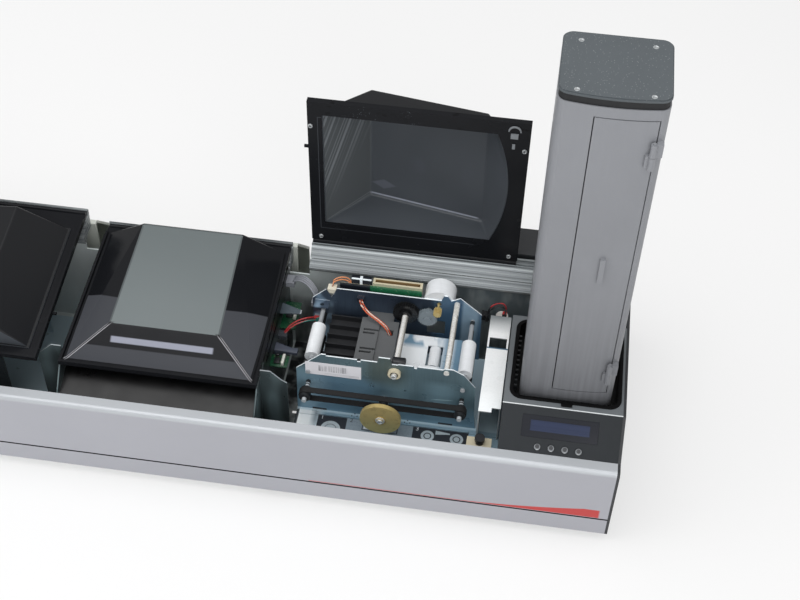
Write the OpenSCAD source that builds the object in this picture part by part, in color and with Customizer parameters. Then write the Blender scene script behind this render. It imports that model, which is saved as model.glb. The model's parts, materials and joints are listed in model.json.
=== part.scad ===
// Long card printer: feeder tower, encoding bay, print bay, flip-over bay and stacker tower
// on one low base. Units are millimetres, +Z is up and the front faces -Y.

/* [Body] */
// Overall depth
body_d = 319; // [312:1:345]
// Height of the feet
foot_h = 14; // [10:0.5:20]
// Radius of each foot
foot_r = 13; // [9:0.5:18]
// Height of the front rail's top above the table
rail_z = 123.2; // [118:0.1:126]
// Depth of the front rail's top band
rail_d = 15; // [12:0.5:18]
// Wall thickness of the front panel
panel_t = 3; // [2:0.1:4]
// Height of the seam line in the front panel
seam_z = 39.5; // [30:0.5:60]
// Width of the seam line
seam_w = 1.6; // [1:0.1:3]
// Sheet thickness of the base tray
tray_t = 2; // [1.5:0.1:3]
// Wall thickness of the moulded covers
cover_t = 3; // [2:0.1:4]

/* [Bays] */
// Width of the feeder and of the stacker section
end_w = 130; // [126:1:140]
// Width of the encoding and of the flip-over bay's lid
lid_w = 237; // [215:1:260]
// Width of the print bay's lid
print_w = 220; // [212:1:230]
// Gap between the print bay's lid and its neighbours
lid_gap = 24.5; // [20:0.5:28]
// Free strip between a bay's lid and the tower section
bay_side = 3; // [2:0.5:5]
// Height of the tower decks
deck_z = 155; // [150:0.5:160]
// Distance from the front face to the tower decks' front edge
deck_y = 53; // [50:0.5:56]
// Depth of the tower decks
deck_d = 126; // [122:1:132]

/* [Towers] */
// Width of each tower
tower_w = 98.4; // [96:0.2:102]
// Depth of each tower
tower_d = 88; // [86:1:92]
// Top of the towers above the table
tower_z = 556; // [400:1:650]
// Wall thickness of the towers
tower_t = 3; // [2.5:0.1:4]
// Bulge of the tower's front face
tower_bow = 3; // [1.5:0.5:5]
// Height of the tower cap
cap_h = 11; // [9:0.5:16]
// Width of the tower door
door_w = 56; // [50:1:60]

/* [Lids] */
// Distance from the front face to the hinge line
hinge_y = 242.4; // [240:0.1:244]
// Height of the hinge line
hinge_z = 174; // [172:0.1:177]
// Length of a lid from the hinge line to its front edge
lid_len = 204; // [200:1:210]
// Length of the print bay's lid from its hinge line
print_len = 201; // [196:1:206]
// Drop of the print bay's hinge line below the others
print_drop = 16; // [14:0.5:18]
// Tilt of the closed print lid below level
print_tilt = 5.2; // [4:0.1:6.5]
// Thickness of a lid's frame plate
lid_t = 3; // [2.5:0.1:3.5]
// Depth of the rim round a lid's frame
lid_rim = 7; // [5:0.5:9]
// Radius of the hinge bead along a lid's rear edge
bead_r = 3; // [2.5:0.1:3.2]
// Tilt of a closed lid below level
lid_tilt = 9; // [8:0.5:9.5]
// Wall thickness of the smoked hoods
hood_t = 2.4; // [1.8:0.1:3]
// Rounding of the hoods' ridges
ridge_r = 4; // [3:0.5:6]
// Rounding of the print hood's ridges
print_ridge_r = 6; // [4:0.5:8]

/* [Card path] */
// Height of the card path
path_z = 131; // [129:0.5:133]
// Distance from the front face to the middle of the card path
path_y = 118; // [116:0.5:120]
// Thickness of a card
card_t = 0.8; // [0.5:0.05:1]
// Radius of the transport rollers
roller_r = 8; // [7:0.1:8.5]
// Length of the transport rollers
roller_l = 45; // [40:1:50]
// Radius of the roller shafts
shaft_r = 2.5; // [2:0.1:3]
// Radial clearance of a shaft in its bush
run_fit = 0.05; // [0.02:0.01:0.08]

/* [Encoder chassis] */
// Sheet thickness of the chassis plates
plate_t = 1.5; // [1.2:0.1:2]
// Distance from the front face to the chassis' front plate
front_plate_y = 75; // [74:0.5:77]
// Distance from the front face to the chassis' rear plate
rear_plate_y = 176; // [175:0.5:178]
// Height of the chassis floor
floor_z = 75; // [70:0.5:78]
// Top of the chassis plates
plate_z = 168; // [165:0.5:169]
// Flywheel radius
wheel_r = 22.5; // [18:0.5:23]
// Flywheel thickness
wheel_t = 5; // [4:0.5:6]
// Radius of the belt pulleys
pulley_r = 6; // [5:0.5:7]
// Thickness of the drive belt
belt_t = 1.2; // [0.8:0.1:2]
// Width of the drive belt
belt_w = 7; // [5:0.5:8]
// Radius of the main shaft
main_r = 3.4; // [3:0.1:4]
// Gear module
gear_m = 0.8; // [0.7:0.02:0.82]

/* [Controls] */
// Diameter of the buttons
button_dia = 6.6; // [5:0.2:8]
// Distance between the buttons
button_pitch = 14.5; // [12:0.5:16]
// Travel of the buttons
button_travel = 1.2; // [0.8:0.1:1.5]
// Width of the display window
lcd_w = 81; // [70:1:84]
// Height of the display window along the slope
lcd_h = 24; // [20:0.5:25]

/* [Hidden] */
$fn = 48;

gap = 0.4;                              // free space between covers
front = -body_d / 2;                    // front face in Y
print_lid_x = -print_w / 2;
encoder_lid_x = print_w / 2 + lid_gap;
feeder_x = encoder_lid_x + lid_w + bay_side; // left edge of the feeder section
half_w = feeder_x + end_w;
body_w = 2 * half_w;
close_angle = 90 + lid_tilt;
print_z = hinge_z - print_drop;         // height of the print lid's hinge line
wall_y = hinge_y - 20.4;                // inner rear wall that carries the rails
tower_y = path_y - tower_d / 2 - 1;     // front of a tower, without its bulge
tower_x = (end_w - tower_w) / 2;
slope_a = atan((deck_z - rail_z) / (deck_y - rail_d));
slope_l = norm([deck_z - rail_z, deck_y - rail_d]);
upper_z = path_z + card_t + roller_r;   // axis of the upper rollers
lower_z = path_z - roller_r;            // axis of the driven rollers
roller_left_x = bx(-214);
roller_right_x = bx(-44.5);
belt_y = front_plate_y - 18;
wheel_x = bx(-130);
wheel_pulley_r = 9;
belt_gap = 0.3;
wheel_z = lower_z - pulley_r - belt_t - wheel_pulley_r - belt_gap;

// Places across a bay are drawn 240 mm wide, and spread with the bay's real width
function bx(x) = x * (lid_w + bay_side) / 240;
function spread(pts) = [for (p = pts) [bx(p[0]), p[1]]];
// Underside of a closed lid's frame, as a height over a distance from the front face
function under(y, z, tilt) = z - (hinge_y - y) * tan(tilt) - lid_t / 2 / cos(tilt) - gap;
function lid_under(y) = under(y, hinge_z, lid_tilt);
function print_under(y) = under(y, print_z, print_tilt);
// Underside of the panel on the sloping front
function slope_under(y) = rail_z + (y - rail_d - 0.6) * tan(slope_a) - cover_t / cos(slope_a) - 0.02;

// ---- helpers ----
// The feeder section's left front corner at table height
module at_bay() translate([feeder_x, front, 0]) children();
module rod_y(r, l) rotate([-90, 0, 0]) cylinder(r = r, h = l);
module rod_x(r, l) rotate([0, 90, 0]) cylinder(r = r, h = l);
// A sheet drawn as (x, z) points, standing across Y
module wall_xz(pts, t) translate([0, t, 0]) rotate([90, 0, 0]) linear_extrude(t) polygon(pts);
// A section drawn as (y, z) points, run along X
module run_x(l) rotate([90, 0, 90]) linear_extrude(l) children();
// Exact rounded rectangle, made without a hull
module plate_2d(w, d, r) {
    translate([r, 0]) square([w - 2 * r, d]);
    translate([0, r]) square([w, d - 2 * r]);
    for (x = [r, w - r], y = [r, d - r]) translate([x, y]) circle(r);
}

// ---- base ----
module base_tray() color("silver") difference() {
    union() {
        translate([-half_w + cover_t, front + panel_t, foot_h])
            cube([body_w - 2 * cover_t, body_d - panel_t - cover_t, tray_t]);
        translate([-half_w + cover_t, front + wall_y, foot_h])
            cube([body_w - 2 * cover_t, tray_t, hinge_z - 30 - foot_h]);
        translate([-half_w + cover_t, front + panel_t, foot_h])
            cube([body_w - 2 * cover_t, tray_t, 40]);
    }
    for (i = [-9 : 9]) translate([i * 48 - 14, front + 110, foot_h - 1]) cube([28, 5, tray_t + 2]);
    // the rear wall is lower between the outer rails, and lowest under the print bay's rail
    translate([-encoder_lid_x + gap, front + wall_y - 1, hinge_z - 38])
        cube([2 * (encoder_lid_x - gap), tray_t + 2, 20]);
    translate([print_lid_x - gap, front + wall_y - 1, print_z - 30])
        cube([print_w + 2 * gap, tray_t + 2, 40]);
}

module front_profile() difference() {
    union() {
        translate([0, foot_h]) square([panel_t, rail_z - foot_h - 5]);
        translate([5, rail_z - 5]) circle(5);
        translate([5, rail_z - panel_t]) square([rail_d - 5, panel_t]);
        translate([0, rail_z - 6]) square([panel_t, 1]);
        translate([rail_d - 2, rail_z - 16]) square([2, 14]);
    }
    translate([5, rail_z - 5]) circle(2);
    translate([panel_t, foot_h]) square([rail_d - panel_t - 2, rail_z - foot_h - panel_t - 2]);
    translate([-1, seam_z]) square([1 + panel_t / 2, seam_w]);
}
module front_panel() color("lightgray")
    translate([-half_w + cover_t, front, 0]) run_x(body_w - 2 * cover_t) front_profile();

// Side view of an end section, as (y, z) points from the front face
rear_low = 86;
hump_z = 181;
hump_y = hinge_y + bead_r + 4.6;
end_points = [
    [0, foot_h], [0, rail_z - 3], [3, rail_z], [rail_d, rail_z], [deck_y, deck_z],
    [wall_y + 6, deck_z], [hump_y, hump_z], [body_d - 26, hump_z],
    [body_d, hump_z - 42], [body_d, foot_h]
];
box_z = foot_h + tray_t;
house_x = 8;                            // the housing reaches this far behind the next lid
module end_cover() difference() {
    union() {
        translate([end_w - cover_t, 0, 0]) run_x(cover_t) polygon(end_points);
        // closed housing behind the tower
        translate([-house_x, 0, 0]) run_x(end_w + house_x - cover_t / 2) polygon([
            [hump_y, box_z], [hump_y, hump_z], [body_d - 26, hump_z],
            [body_d, hump_z - 42], [body_d, box_z]
        ]);
    }
    translate([cover_t - house_x, 0, 0]) run_x(end_w + house_x - 2 * cover_t) polygon([
        [hump_y + cover_t, box_z - 1], [hump_y + cover_t, hump_z - cover_t],
        [body_d - 26 - cover_t / 2, hump_z - cover_t],
        [body_d - cover_t, hump_z - 42 - cover_t / 2], [body_d - cover_t, box_z - 1]
    ]);
    for (i = [0 : 7]) translate([18 + i * 12, body_d - cover_t - 2, 60]) cube([5, cover_t + 4, 46]);
    for (i = [0 : 5]) translate([end_w - cover_t - 1, 90 + i * 14, 50]) cube([cover_t + 2, 6, 46]);
}
module right_end_cover() color("dimgray") at_bay() end_cover();
module left_end_cover() color("dimgray") mirror([1, 0, 0]) at_bay() end_cover();

notch_w = 17;
rear_w = feeder_x - house_x - 1;
rear_d = body_d - 2;                    // outer face of the rear cover
rear_y = hinge_y + 8;
rear_z = 150;
inlet_w = 28;
inlet_h = 20;
module rear_cover() color("gainsboro") difference() {
    translate([-rear_w, front, 0]) run_x(2 * rear_w) difference() {
        polygon([
            [rear_y, box_z], [rear_y, rear_z], [rear_y + 7, rear_z], [rear_d, rear_low], [rear_d, box_z]
        ]);
        polygon([
            [rear_y + cover_t, box_z - 1], [rear_y + cover_t, rear_z - cover_t],
            [rear_y + 6, rear_z - cover_t], [rear_d - cover_t, rear_low - 1.4], [rear_d - cover_t, box_z - 1]
        ]);
    }
    for (s = [-1, 1]) translate([s * (encoder_lid_x - lid_gap / 2) - notch_w / 2, front + rear_y - 1, 44])
        cube([notch_w, body_d - rear_y + 2, 120]);
    // cooling slots, and the openings for the inlet and the data sockets
    translate([0, front + rear_d - cover_t - 1, 0]) {
        for (i = [0 : 10]) translate([-60 + i * 12, 0, 34]) cube([5, cover_t + 2, 34]);
        translate([220, 0, 36]) cube([inlet_w, cover_t + 2, inlet_h]);
        translate([-262, 0, 36]) cube([16, cover_t + 2, 14]);
        translate([-236, 0, 36]) cube([12.2, cover_t + 2, 11]);
    }
}
module power_inlet() color("black") translate([220, front + rear_d, 36]) difference() {
    union() {
        translate([0, -cover_t - 14, 0]) cube([inlet_w, cover_t + 14.5, inlet_h]);
        translate([-3, 0, -3]) cube([inlet_w + 6, 1.5, inlet_h + 6]);
    }
    translate([3, -cover_t - 10, 3]) cube([inlet_w - 6, 30, inlet_h - 6]);
    translate([inlet_w / 2, -cover_t - 12, inlet_h / 2]) for (x = [-7, 0, 7]) translate([x - 1, 0, -2])
        cube([2, 4, 4]);
}
module feet() color("black") for (x = [-half_w + 40, 0, half_w - 40], y = [34, body_d - 34])
    translate([x, front + y, 0]) {
        cylinder(r1 = foot_r - 1.5, r2 = foot_r, h = 3);
        translate([0, 0, 3]) cylinder(r = foot_r, h = foot_h - 3);
    }

// Extruded hinge rail: ribbed slope in front, C-groove that holds the lid's bead behind
groove_r = bead_r + run_fit;
rail_face = [[hinge_y - 5.6, hinge_z - 4.6], [wall_y - 4, hinge_z - 22]];
function mouth_z(y) = y * tan(lid_tilt) - lid_t / 2 / cos(lid_tilt) - gap;
module rail_profile() difference() {
    union() {
        translate([hinge_y, hinge_z]) circle(groove_r + 2.6);
        polygon([
            rail_face[0], rail_face[1], [wall_y - 4, hinge_z - 25], [wall_y, hinge_z - 25],
            [wall_y, hinge_z - 30], [wall_y + tray_t + 2, hinge_z - 30], [wall_y + 9, hinge_z - 24],
            [hinge_y + groove_r, hinge_z - 24],
            [hinge_y + groove_r + 2.6, hinge_z - 2], [hinge_y, hinge_z]
        ]);
    }
    translate([hinge_y, hinge_z]) circle(groove_r);
    // mouth of the groove, open over the lid's whole swing
    translate([hinge_y, hinge_z]) polygon([
        [0, 0], [5, 9.4], [-14, 9.4], [-14, mouth_z(-14)], [-bead_r, mouth_z(-bead_r)]
    ]);
    translate([wall_y + 4, hinge_z - 20]) square([10, 6]);
    for (k = [0.16, 0.3, 0.72, 0.84]) translate(rail_face[0] + k * (rail_face[1] - rail_face[0]))
        rotate(45) square([1.5, 1.5], center = true);
}
module hinge_rails() color("silver") {
    at_bay() translate([-bay_side - lid_w, 0, 0]) run_x(lid_w + bay_side + end_w - 8) rail_profile();
    mirror([1, 0, 0]) at_bay() translate([-bay_side - lid_w, 0, 0])
        run_x(lid_w + bay_side + end_w - 8) rail_profile();
    translate([print_lid_x, front, 0]) run_x(print_w) translate([0, -print_drop]) rail_profile();
}

// ---- feeder and stacker decks ----
moat = 10;                              // free strip round a tower's foot
feed_axis_z = path_z - 13.2;
module deck() difference() {
    union() {
        translate([0, deck_y, deck_z - cover_t]) cube([end_w - cover_t, deck_d, cover_t]);
        run_x(cover_t) polygon([
            [rail_d + 1, floor_z], [rail_d + 1, slope_under(rail_d + 1)],
            [deck_y + 1, slope_under(deck_y + 1)], [deck_y + 1, deck_z - 1],
            [deck_y + deck_d, deck_z - 1], [deck_y + deck_d, floor_z]
        ]);
        translate([0, deck_y + deck_d - cover_t, floor_z])
            cube([end_w - cover_t, cover_t, deck_z - floor_z]);
        // well that the tower stands in
        translate([tower_x - moat - 2, tower_y - moat - 2, path_z - 6])
            linear_extrude(deck_z - path_z + 5) plate_2d(tower_w + 2 * moat + 4, tower_d + 2 * moat + 4, 14);
        for (x = [8, end_w - 24]) translate([x, path_y - 8, foot_h + tray_t])
            cube([12, 16, path_z - 5 - foot_h - tray_t]);
        // bearings of the feed roller
        for (y = [-25, 21]) translate([end_w / 2 - 8, path_y + y, feed_axis_z - 8])
            cube([16, 4, path_z - 5 - feed_axis_z + 8]);
    }
    translate([tower_x - moat, tower_y - moat, path_z - 2])
        linear_extrude(60) plate_2d(tower_w + 2 * moat, tower_d + 2 * moat, 12);
    // card slot towards the bays, and the feed roller's window
    translate([-5, path_y - 30, path_z - 1]) cube([tower_x, 60, 3]);
    translate([end_w / 2 - 16, path_y - 20, path_z - 20]) cube([32, 40, 30]);
    translate([end_w / 2, path_y - 26, feed_axis_z]) rod_y(shaft_r + run_fit, 52);
}
module feeder_deck() color("dimgray") at_bay() deck();
module stacker_deck() color("dimgray") mirror([1, 0, 0]) at_bay() {
    deck();
    slope_plate();
    translate([0, deck_y - 2, deck_z - cover_t]) cube([end_w - cover_t, 3, 1]);
}

// ---- control panel ----
// On the slope: x along the panel, y up the slope, z out of it
module at_slope() translate([0, rail_d + 0.6, rail_z]) rotate([slope_a, 0, 0])
    translate([0, 0, -cover_t]) children();
// Sloping plate between the front rail and the deck
module slope_plate() intersection() {
    at_slope() translate([0, -5, 0]) cube([end_w - cover_t, slope_l + 10, cover_t]);
    translate([0, rail_d + 0.6, rail_z - 10]) cube([end_w, deck_y - rail_d - 1, deck_z - rail_z + 10]);
}
button_y = 6.6;
button_x0 = 63 - 1.5 * button_pitch;
module control_panel() color("dimgray") at_bay() difference() {
    slope_plate();
    at_slope() translate([63 - lcd_w / 2, 16, 1]) cube([lcd_w, lcd_h, cover_t]);
    at_slope() for (i = [0 : 3]) translate([button_x0 + i * button_pitch, button_y, -1])
        cylinder(d = button_dia + 0.6, h = cover_t + 2);
}
module lcd_window() color("midnightblue") at_bay() at_slope() translate([63 - lcd_w / 2 + 0.2, 16.2, 1])
    difference() {
        cube([lcd_w - 0.4, lcd_h - 0.4, 1.6]);
        translate([9, 9, 1]) cube([lcd_w - 18, lcd_h - 14, 1]);
    }
module button(i) color("silver") at_bay() at_slope()
    translate([button_x0 + i * button_pitch, button_y, -1.3]) {
        cylinder(d = button_dia, h = cover_t + button_travel + 1.7);
        cylinder(d = button_dia + 2.4, h = 1);
    }

// ---- towers ----
tower_foot = path_z - 2;               // the tower stands on the floor of its well
door_z0 = deck_z + 12;
door_z1 = tower_z - cap_h - 12;
corner_r = 10;
bow_r = (pow(tower_w / 2 - corner_r, 2) + pow(tower_bow, 2)) / (2 * tower_bow);
bow_a = asin((tower_w / 2 - corner_r) / (bow_r - corner_r));
function arc(x, y, r, a0, a1, n) = [for (i = [0 : n])
    let(a = a0 + (a1 - a0) * i / n) [x + r * cos(a), y + r * sin(a)]];
// Section of a tower: the bulged front runs smoothly into the round corners
module tower_2d(inset) {
    r = corner_r - inset;
    front_y = bow_r - tower_bow - (bow_r - corner_r) * cos(bow_a);
    polygon([
        each arc(corner_r, front_y, r, 180, 268 - bow_a, 5),
        each arc(tower_w / 2, bow_r - tower_bow, bow_r - inset, 270 - bow_a, 270 + bow_a, 14),
        each arc(tower_w - corner_r, front_y, r, 272 + bow_a, 360, 5),
        each arc(tower_w - corner_r, tower_d - corner_r, r, 0, 90, 6),
        each arc(corner_r, tower_d - corner_r, r, 90, 180, 6)
    ]);
}
door_x = tower_w - 8 - door_w;
module door_band(extra) translate([door_x - extra, -tower_bow - 2, door_z0 - extra])
    cube([door_w + 2 * extra, tower_t + tower_bow + 2.2, door_z1 - door_z0 + 2 * extra]);
pin_x = tower_w - 8 - 1.2;
pin_y = -4.4;
module knuckles(z_list, r, h) for (z = z_list) translate([pin_x, pin_y, z]) cylinder(r = r, h = h);
knuckle_z = [door_z0 + 20, door_z1 - 50];
module tower_shell() difference() {
    union() {
        difference() {
            translate([0, 0, tower_foot]) linear_extrude(tower_z - cap_h - tower_foot) difference() {
                tower_2d(0);
                tower_2d(tower_t);
            }
            door_band(1);
            // cards leave below the front of the stack
            translate([-5, path_y - tower_y - 28, tower_foot - 1]) cube([20, 56, 5]);
        }
        // hinge ears beside the door
        for (z = knuckle_z) translate([pin_x + 2.2, pin_y, z + 14.4]) cube([6, 7, 14]);
        knuckles([for (z = knuckle_z) z + 14.4], 3, 14);
    }
    knuckles([for (z = knuckle_z) z + 14.2], 1.5 + run_fit, 14.4);
}
module tower_door() {
    intersection() {
        linear_extrude(tower_z) difference() {
            tower_2d(0);
            tower_2d(tower_t);
        }
        door_band(0);
    }
    for (z = knuckle_z) {
        translate([pin_x, pin_y, z]) cylinder(r = 3, h = 14);
        translate([pin_x - 6, pin_y + 0.6, z]) cube([6, 5, 14]);
        translate([pin_x, pin_y, z + 1]) cylinder(r = 1.5, h = 29);
    }
    translate([door_x + 26, -tower_bow - 3, (door_z0 + door_z1) / 2 - 16]) cube([5, 5, 32]);
}
module tower_cap() translate([0, 0, tower_z - cap_h]) {
    linear_extrude(cap_h - 3) tower_2d(1.2);
    translate([0, 0, cap_h - 3]) linear_extrude(2) tower_2d(0);
    translate([0, 0, cap_h - 1]) linear_extrude(1) tower_2d(1);
}
module at_tower() at_bay() translate([tower_x, tower_y, 0]) children();
module feeder_tower() color("gray") at_tower() tower_shell();
module feeder_tower_door() color("gray") at_tower() tower_door();
module stacker_tower() color("gray") mirror([1, 0, 0]) at_tower() tower_shell();
module stacker_tower_door() color("gray") mirror([1, 0, 0]) at_tower() tower_door();
module tower_caps() color("slategray") {
    at_tower() tower_cap();
    mirror([1, 0, 0]) at_tower() tower_cap();
}
module card_weight() color("black") at_tower() translate([tower_t + 2, tower_t + 5, tower_foot + gap]) {
    difference() {
        cube([tower_w - 2 * tower_t - 4, tower_d - 2 * tower_t - 10, 24]);
        translate([10, 10, 4]) cube([tower_w - 2 * tower_t - 24, tower_d - 2 * tower_t - 30, 24]);
    }
    translate([tower_w / 2 - tower_t - 6, 8, 4]) cube([8, tower_d - 2 * tower_t - 26, 18]);
}
module feed_roller() color("black") at_bay() translate([end_w / 2, path_y, feed_axis_z]) {
    translate([0, -18, 0]) rod_y(11, 36);
    translate([0, -26, 0]) rod_y(shaft_r, 52);
}

// Zinc cover of the card separator, and the small motor under its rear end
bracket_z = path_z + 4;
bracket_w = 23.5;
module feed_bracket() color("lightgray") at_bay() translate([-bracket_w - 1.5, 0, 0]) difference() {
    union() {
        translate([0, 53, bracket_z - plate_t]) cube([bracket_w, 140, plate_t]);
        translate([0, 53, floor_z]) cube([plate_t, 123, bracket_z - floor_z]);
        translate([bracket_w - plate_t, 63, floor_z]) cube([plate_t, 113, bracket_z - floor_z]);
    }
    // sensor window, the notch at the front, and the card passage through both flanges
    translate([2, 145, bracket_z - 3]) cube([bracket_w - 4, 14.5, 5]);
    translate([14, 50, bracket_z - 3]) cube([12, 9, 5]);
    translate([-1, path_y - 30, path_z - 2]) cube([bracket_w + 2, 60, 4]);
}
motor_y = 197;
module feed_motor() color("silver") at_bay() translate([-12.6, motor_y, 0]) {
    translate([0, 0, bracket_z - 30]) cylinder(r = 7, h = 27);
    translate([-6, -14, bracket_z - plate_t - 2]) cube([12, 11, 2]);
}

// ---- encoder chassis ----
step = 3;
tie_x = bx(-63);
tie_z = plate_z - 3;
module encoder_front_plate() color("lightsteelblue") at_bay() difference() {
    translate([0, front_plate_y, 0]) wall_xz(spread([
        [-228, floor_z], [-227, lid_under(front_plate_y) - 3], [-199, plate_z + 2], [-194, plate_z + 2],
        [-194, plate_z], [-160, plate_z], [-160, plate_z - step], [-156, plate_z - step],
        [-156, plate_z], [-138, plate_z], [-136.5, plate_z + 8], [-124, plate_z + 8],
        [-122, plate_z - 1], [-116, plate_z - 1], [-114.5, plate_z], [-99, plate_z],
        [-98, plate_z - step], [-95, plate_z - step], [-94, plate_z], [-67, plate_z],
        [-65, plate_z + 2], [-56, plate_z + 2], [-44, plate_z - 5], [-31, plate_z - 23],
        [-30, 100], [-27.5, floor_z]
    ]), plate_t);
    // bores of the shafts and bushes
    for (x = [roller_left_x, roller_right_x]) {
        translate([x, front_plate_y - 1, upper_z]) rod_y(shaft_r + run_fit, 5);
        translate([x, front_plate_y - 1, lower_z]) rod_y(shaft_r + run_fit, 5);
    }
    translate([wheel_x, front_plate_y - 1, wheel_z]) rod_y(shaft_r + run_fit, 5);
    translate([main_x, front_plate_y - 1, main_z]) rod_y(bush_r + run_fit, 5);
    translate([tie_x, front_plate_y - 1, tie_z]) rod_y(screw_r + run_fit, 5);
    for (p = [[-146, 127], [-142, 127], [-144, 130.5], [-107, 126]])
        translate([bx(p[0]), front_plate_y - 1, p[1]]) rod_y(1.5, 5);
}
table_z = path_z - 2.4;                 // underside of the raised card table
table_y = front_plate_y + 2;
table_d = 77;
idle_x = bx(-81.5);                     // floor roller
idle_y = 112;
idle_l = 28;
idle_r = 6.6;
module encoder_floor() color("lightsteelblue") at_bay() difference() {
    union() {
        translate([bx(-228), rail_d, floor_z - plate_t])
            cube([bx(228) + cover_t, rear_plate_y + plate_t - rail_d, plate_t]);
        // raised card table between the plates
        translate([bx(-122), table_y, table_z]) cube([bx(69), table_d, plate_t]);
        for (x = [-118, -62]) translate([bx(x), table_y + 3, floor_z - 0.5])
            cube([plate_t, table_d - 6, table_z - floor_z + 1]);
        // flange that stiffens the label field
        translate([bx(-206), front_plate_y - 8, floor_z - 0.5]) cube([bx(172), plate_t, 2.5]);
        // bent sides that stand in the tray
        for (x = [-224, -38]) translate([bx(x), rail_d + 10, foot_h + tray_t])
            cube([plate_t, rear_plate_y - rail_d - 14, floor_z - 1 - foot_h - tray_t]);
        // bearings of the floor roller
        for (y = [idle_y - 5, idle_y + idle_l + 1]) translate([idle_x - 5, y, path_z - idle_r - 5])
            cube([10, 4, idle_r + 3.4]);
    }
    translate([idle_x - 8.5, idle_y - 1, path_z - 6]) cube([17, idle_l + 2, 9]);
    translate([idle_x, idle_y - 6, path_z - idle_r]) rod_y(1.5 + run_fit, idle_l + 12);
}
module encoder_rear_plate() color("lightsteelblue") at_bay() difference() {
    union() {
        translate([0, rear_plate_y, 0]) wall_xz(spread([
            [-228, floor_z], [-228, plate_z - 20], [-212, plate_z - 4], [-206.5, plate_z - 16],
            [-203, plate_z - 10], [-200, plate_z - 1], [-81, plate_z - 1], [-78, plate_z + 7],
            [-74, plate_z + 7], [-70, plate_z], [-60, plate_z + 6], [-35, plate_z - 17],
            [-34, floor_z]
        ]), plate_t);
        // bent ear over the entry roller's shaft
        translate([roller_left_x - 11, rear_plate_y - 12, plate_z - 23]) cube([17, 12.5, plate_t]);
    }
    translate([bx(-96), rear_plate_y - 1, 111.5]) cube([20.5, 5, 22]);
    for (x = [roller_left_x, roller_right_x]) {
        translate([x, rear_plate_y - 1, upper_z]) rod_y(shaft_r + run_fit, 5);
        translate([x, rear_plate_y - 1, lower_z]) rod_y(shaft_r + run_fit, 5);
    }
    translate([main_x, rear_plate_y - 1, main_z]) rod_y(main_r + run_fit, 5);
    translate([idler_x, rear_plate_y - 1, idler_z]) rod_y(2 + run_fit, 5);
    translate([motor_x, rear_plate_y - 1, motor_z]) rod_y(3, 5);
    translate([tie_x, rear_plate_y - 1, tie_z]) rod_y(screw_r + run_fit, 5);
    translate([roller_left_x - 2, rear_plate_y - 7, plate_z - 24]) cylinder(r = 2.2, h = 6);
}
// Distance tube with two turned grooves, screwed between the plates
screw_r = 1.5;
module tie_rod() color("silver") at_bay() translate([tie_x, front_plate_y + plate_t, tie_z]) difference() {
    union() {
        rod_y(3.2, rear_plate_y - front_plate_y - plate_t);
        for (y = [-plate_t - 1, rear_plate_y - front_plate_y - plate_t - 1]) translate([0, y, 0])
            rod_y(screw_r, plate_t + 2);
        translate([0, -plate_t - 1.8, 0]) rod_y(3, 1.8);
        translate([0, rear_plate_y - front_plate_y, 0]) rod_y(3, 1.8);
    }
    for (y = [22, 74]) translate([0, y, 0]) difference() {
        rod_y(4, 1);
        translate([0, -1, 0]) rod_y(2.7, 3);
    }
}
bush_r = 5;
main_x = bx(-119);
main_z = 155;
gear_y = 160;
gear_w = 7;
main_teeth = 35;
idler_teeth = 26;
pinion_teeth = 10;
mesh_gap = 0.25;
pinion_r = gear_m * pinion_teeth / 2;
idler_d = gear_m * (main_teeth + idler_teeth) / 2 + mesh_gap;
idler_angle = -8;
idler_x = main_x + idler_d * cos(idler_angle);
idler_z = main_z + idler_d * sin(idler_angle);
pinion_d = gear_m * (idler_teeth + pinion_teeth) / 2 + mesh_gap;
pinion_angle = 42;
motor_x = idler_x + pinion_d * cos(pinion_angle);
motor_z = idler_z + pinion_d * sin(pinion_angle);

// Spur gear outline with straight-flanked teeth and some backlash
module gear_2d(teeth, turn) {
    r = gear_m * teeth / 2;
    pitch = 360 / teeth;
    circle(r - 0.95 * gear_m, $fn = 96);
    rotate(turn) for (i = [0 : teeth - 1]) rotate(i * pitch) polygon([
        [r - 1.3 * gear_m, -0.82 * gear_m], [r, -0.62 * gear_m], [r + 0.75 * gear_m, -0.3 * gear_m],
        [r + 0.75 * gear_m, 0.3 * gear_m], [r, 0.62 * gear_m], [r - 1.3 * gear_m, 0.82 * gear_m]
    ]);
}
module gear(teeth, turn, w) rotate([90, 0, 0]) translate([0, 0, -w]) linear_extrude(w) gear_2d(teeth, turn);
// Turns that put a tooth of one gear into a space of the next
idler_turn = idler_angle + 180 - 180 / idler_teeth
    + (idler_angle % (360 / main_teeth)) * main_teeth / idler_teeth;
pinion_turn = pinion_angle + 180 - 180 / pinion_teeth
    + ((pinion_angle - idler_turn) % (360 / idler_teeth)) * idler_teeth / pinion_teeth;

module main_shaft() color("silver") at_bay() {
    translate([main_x, front_plate_y + plate_t + 0.8, main_z])
        rod_y(main_r, rear_plate_y - front_plate_y + 1.4);
    translate([main_x, front_plate_y - 6, main_z]) rod_y(3, 10);
    translate([main_x, gear_y, main_z]) gear(main_teeth, 0, gear_w);
    translate([main_x, gear_y - 3, main_z]) rod_y(7, 3);
}
module shaft_bush() color("wheat") at_bay() translate([main_x, front_plate_y, main_z]) difference() {
    union() {
        translate([0, -4, 0]) rod_y(7, 4);
        rod_y(bush_r, plate_t);
        translate([0, plate_t, 0]) rod_y(7.5, 4);
    }
    translate([0, -5, 0]) rod_y(3 + run_fit, 7);
    translate([0, plate_t + 0.4, 0]) rod_y(main_r + run_fit, 12);
}
module idler_gear() color("slategray") at_bay() translate([idler_x, 0, idler_z]) {
    translate([0, gear_y, 0]) gear(idler_teeth, idler_turn, gear_w);
    translate([0, gear_y - 2, 0]) rod_y(4, 2);
    translate([0, gear_y + gear_w, 0]) rod_y(2, rear_plate_y - gear_y - gear_w + plate_t - gap);
}
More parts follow.
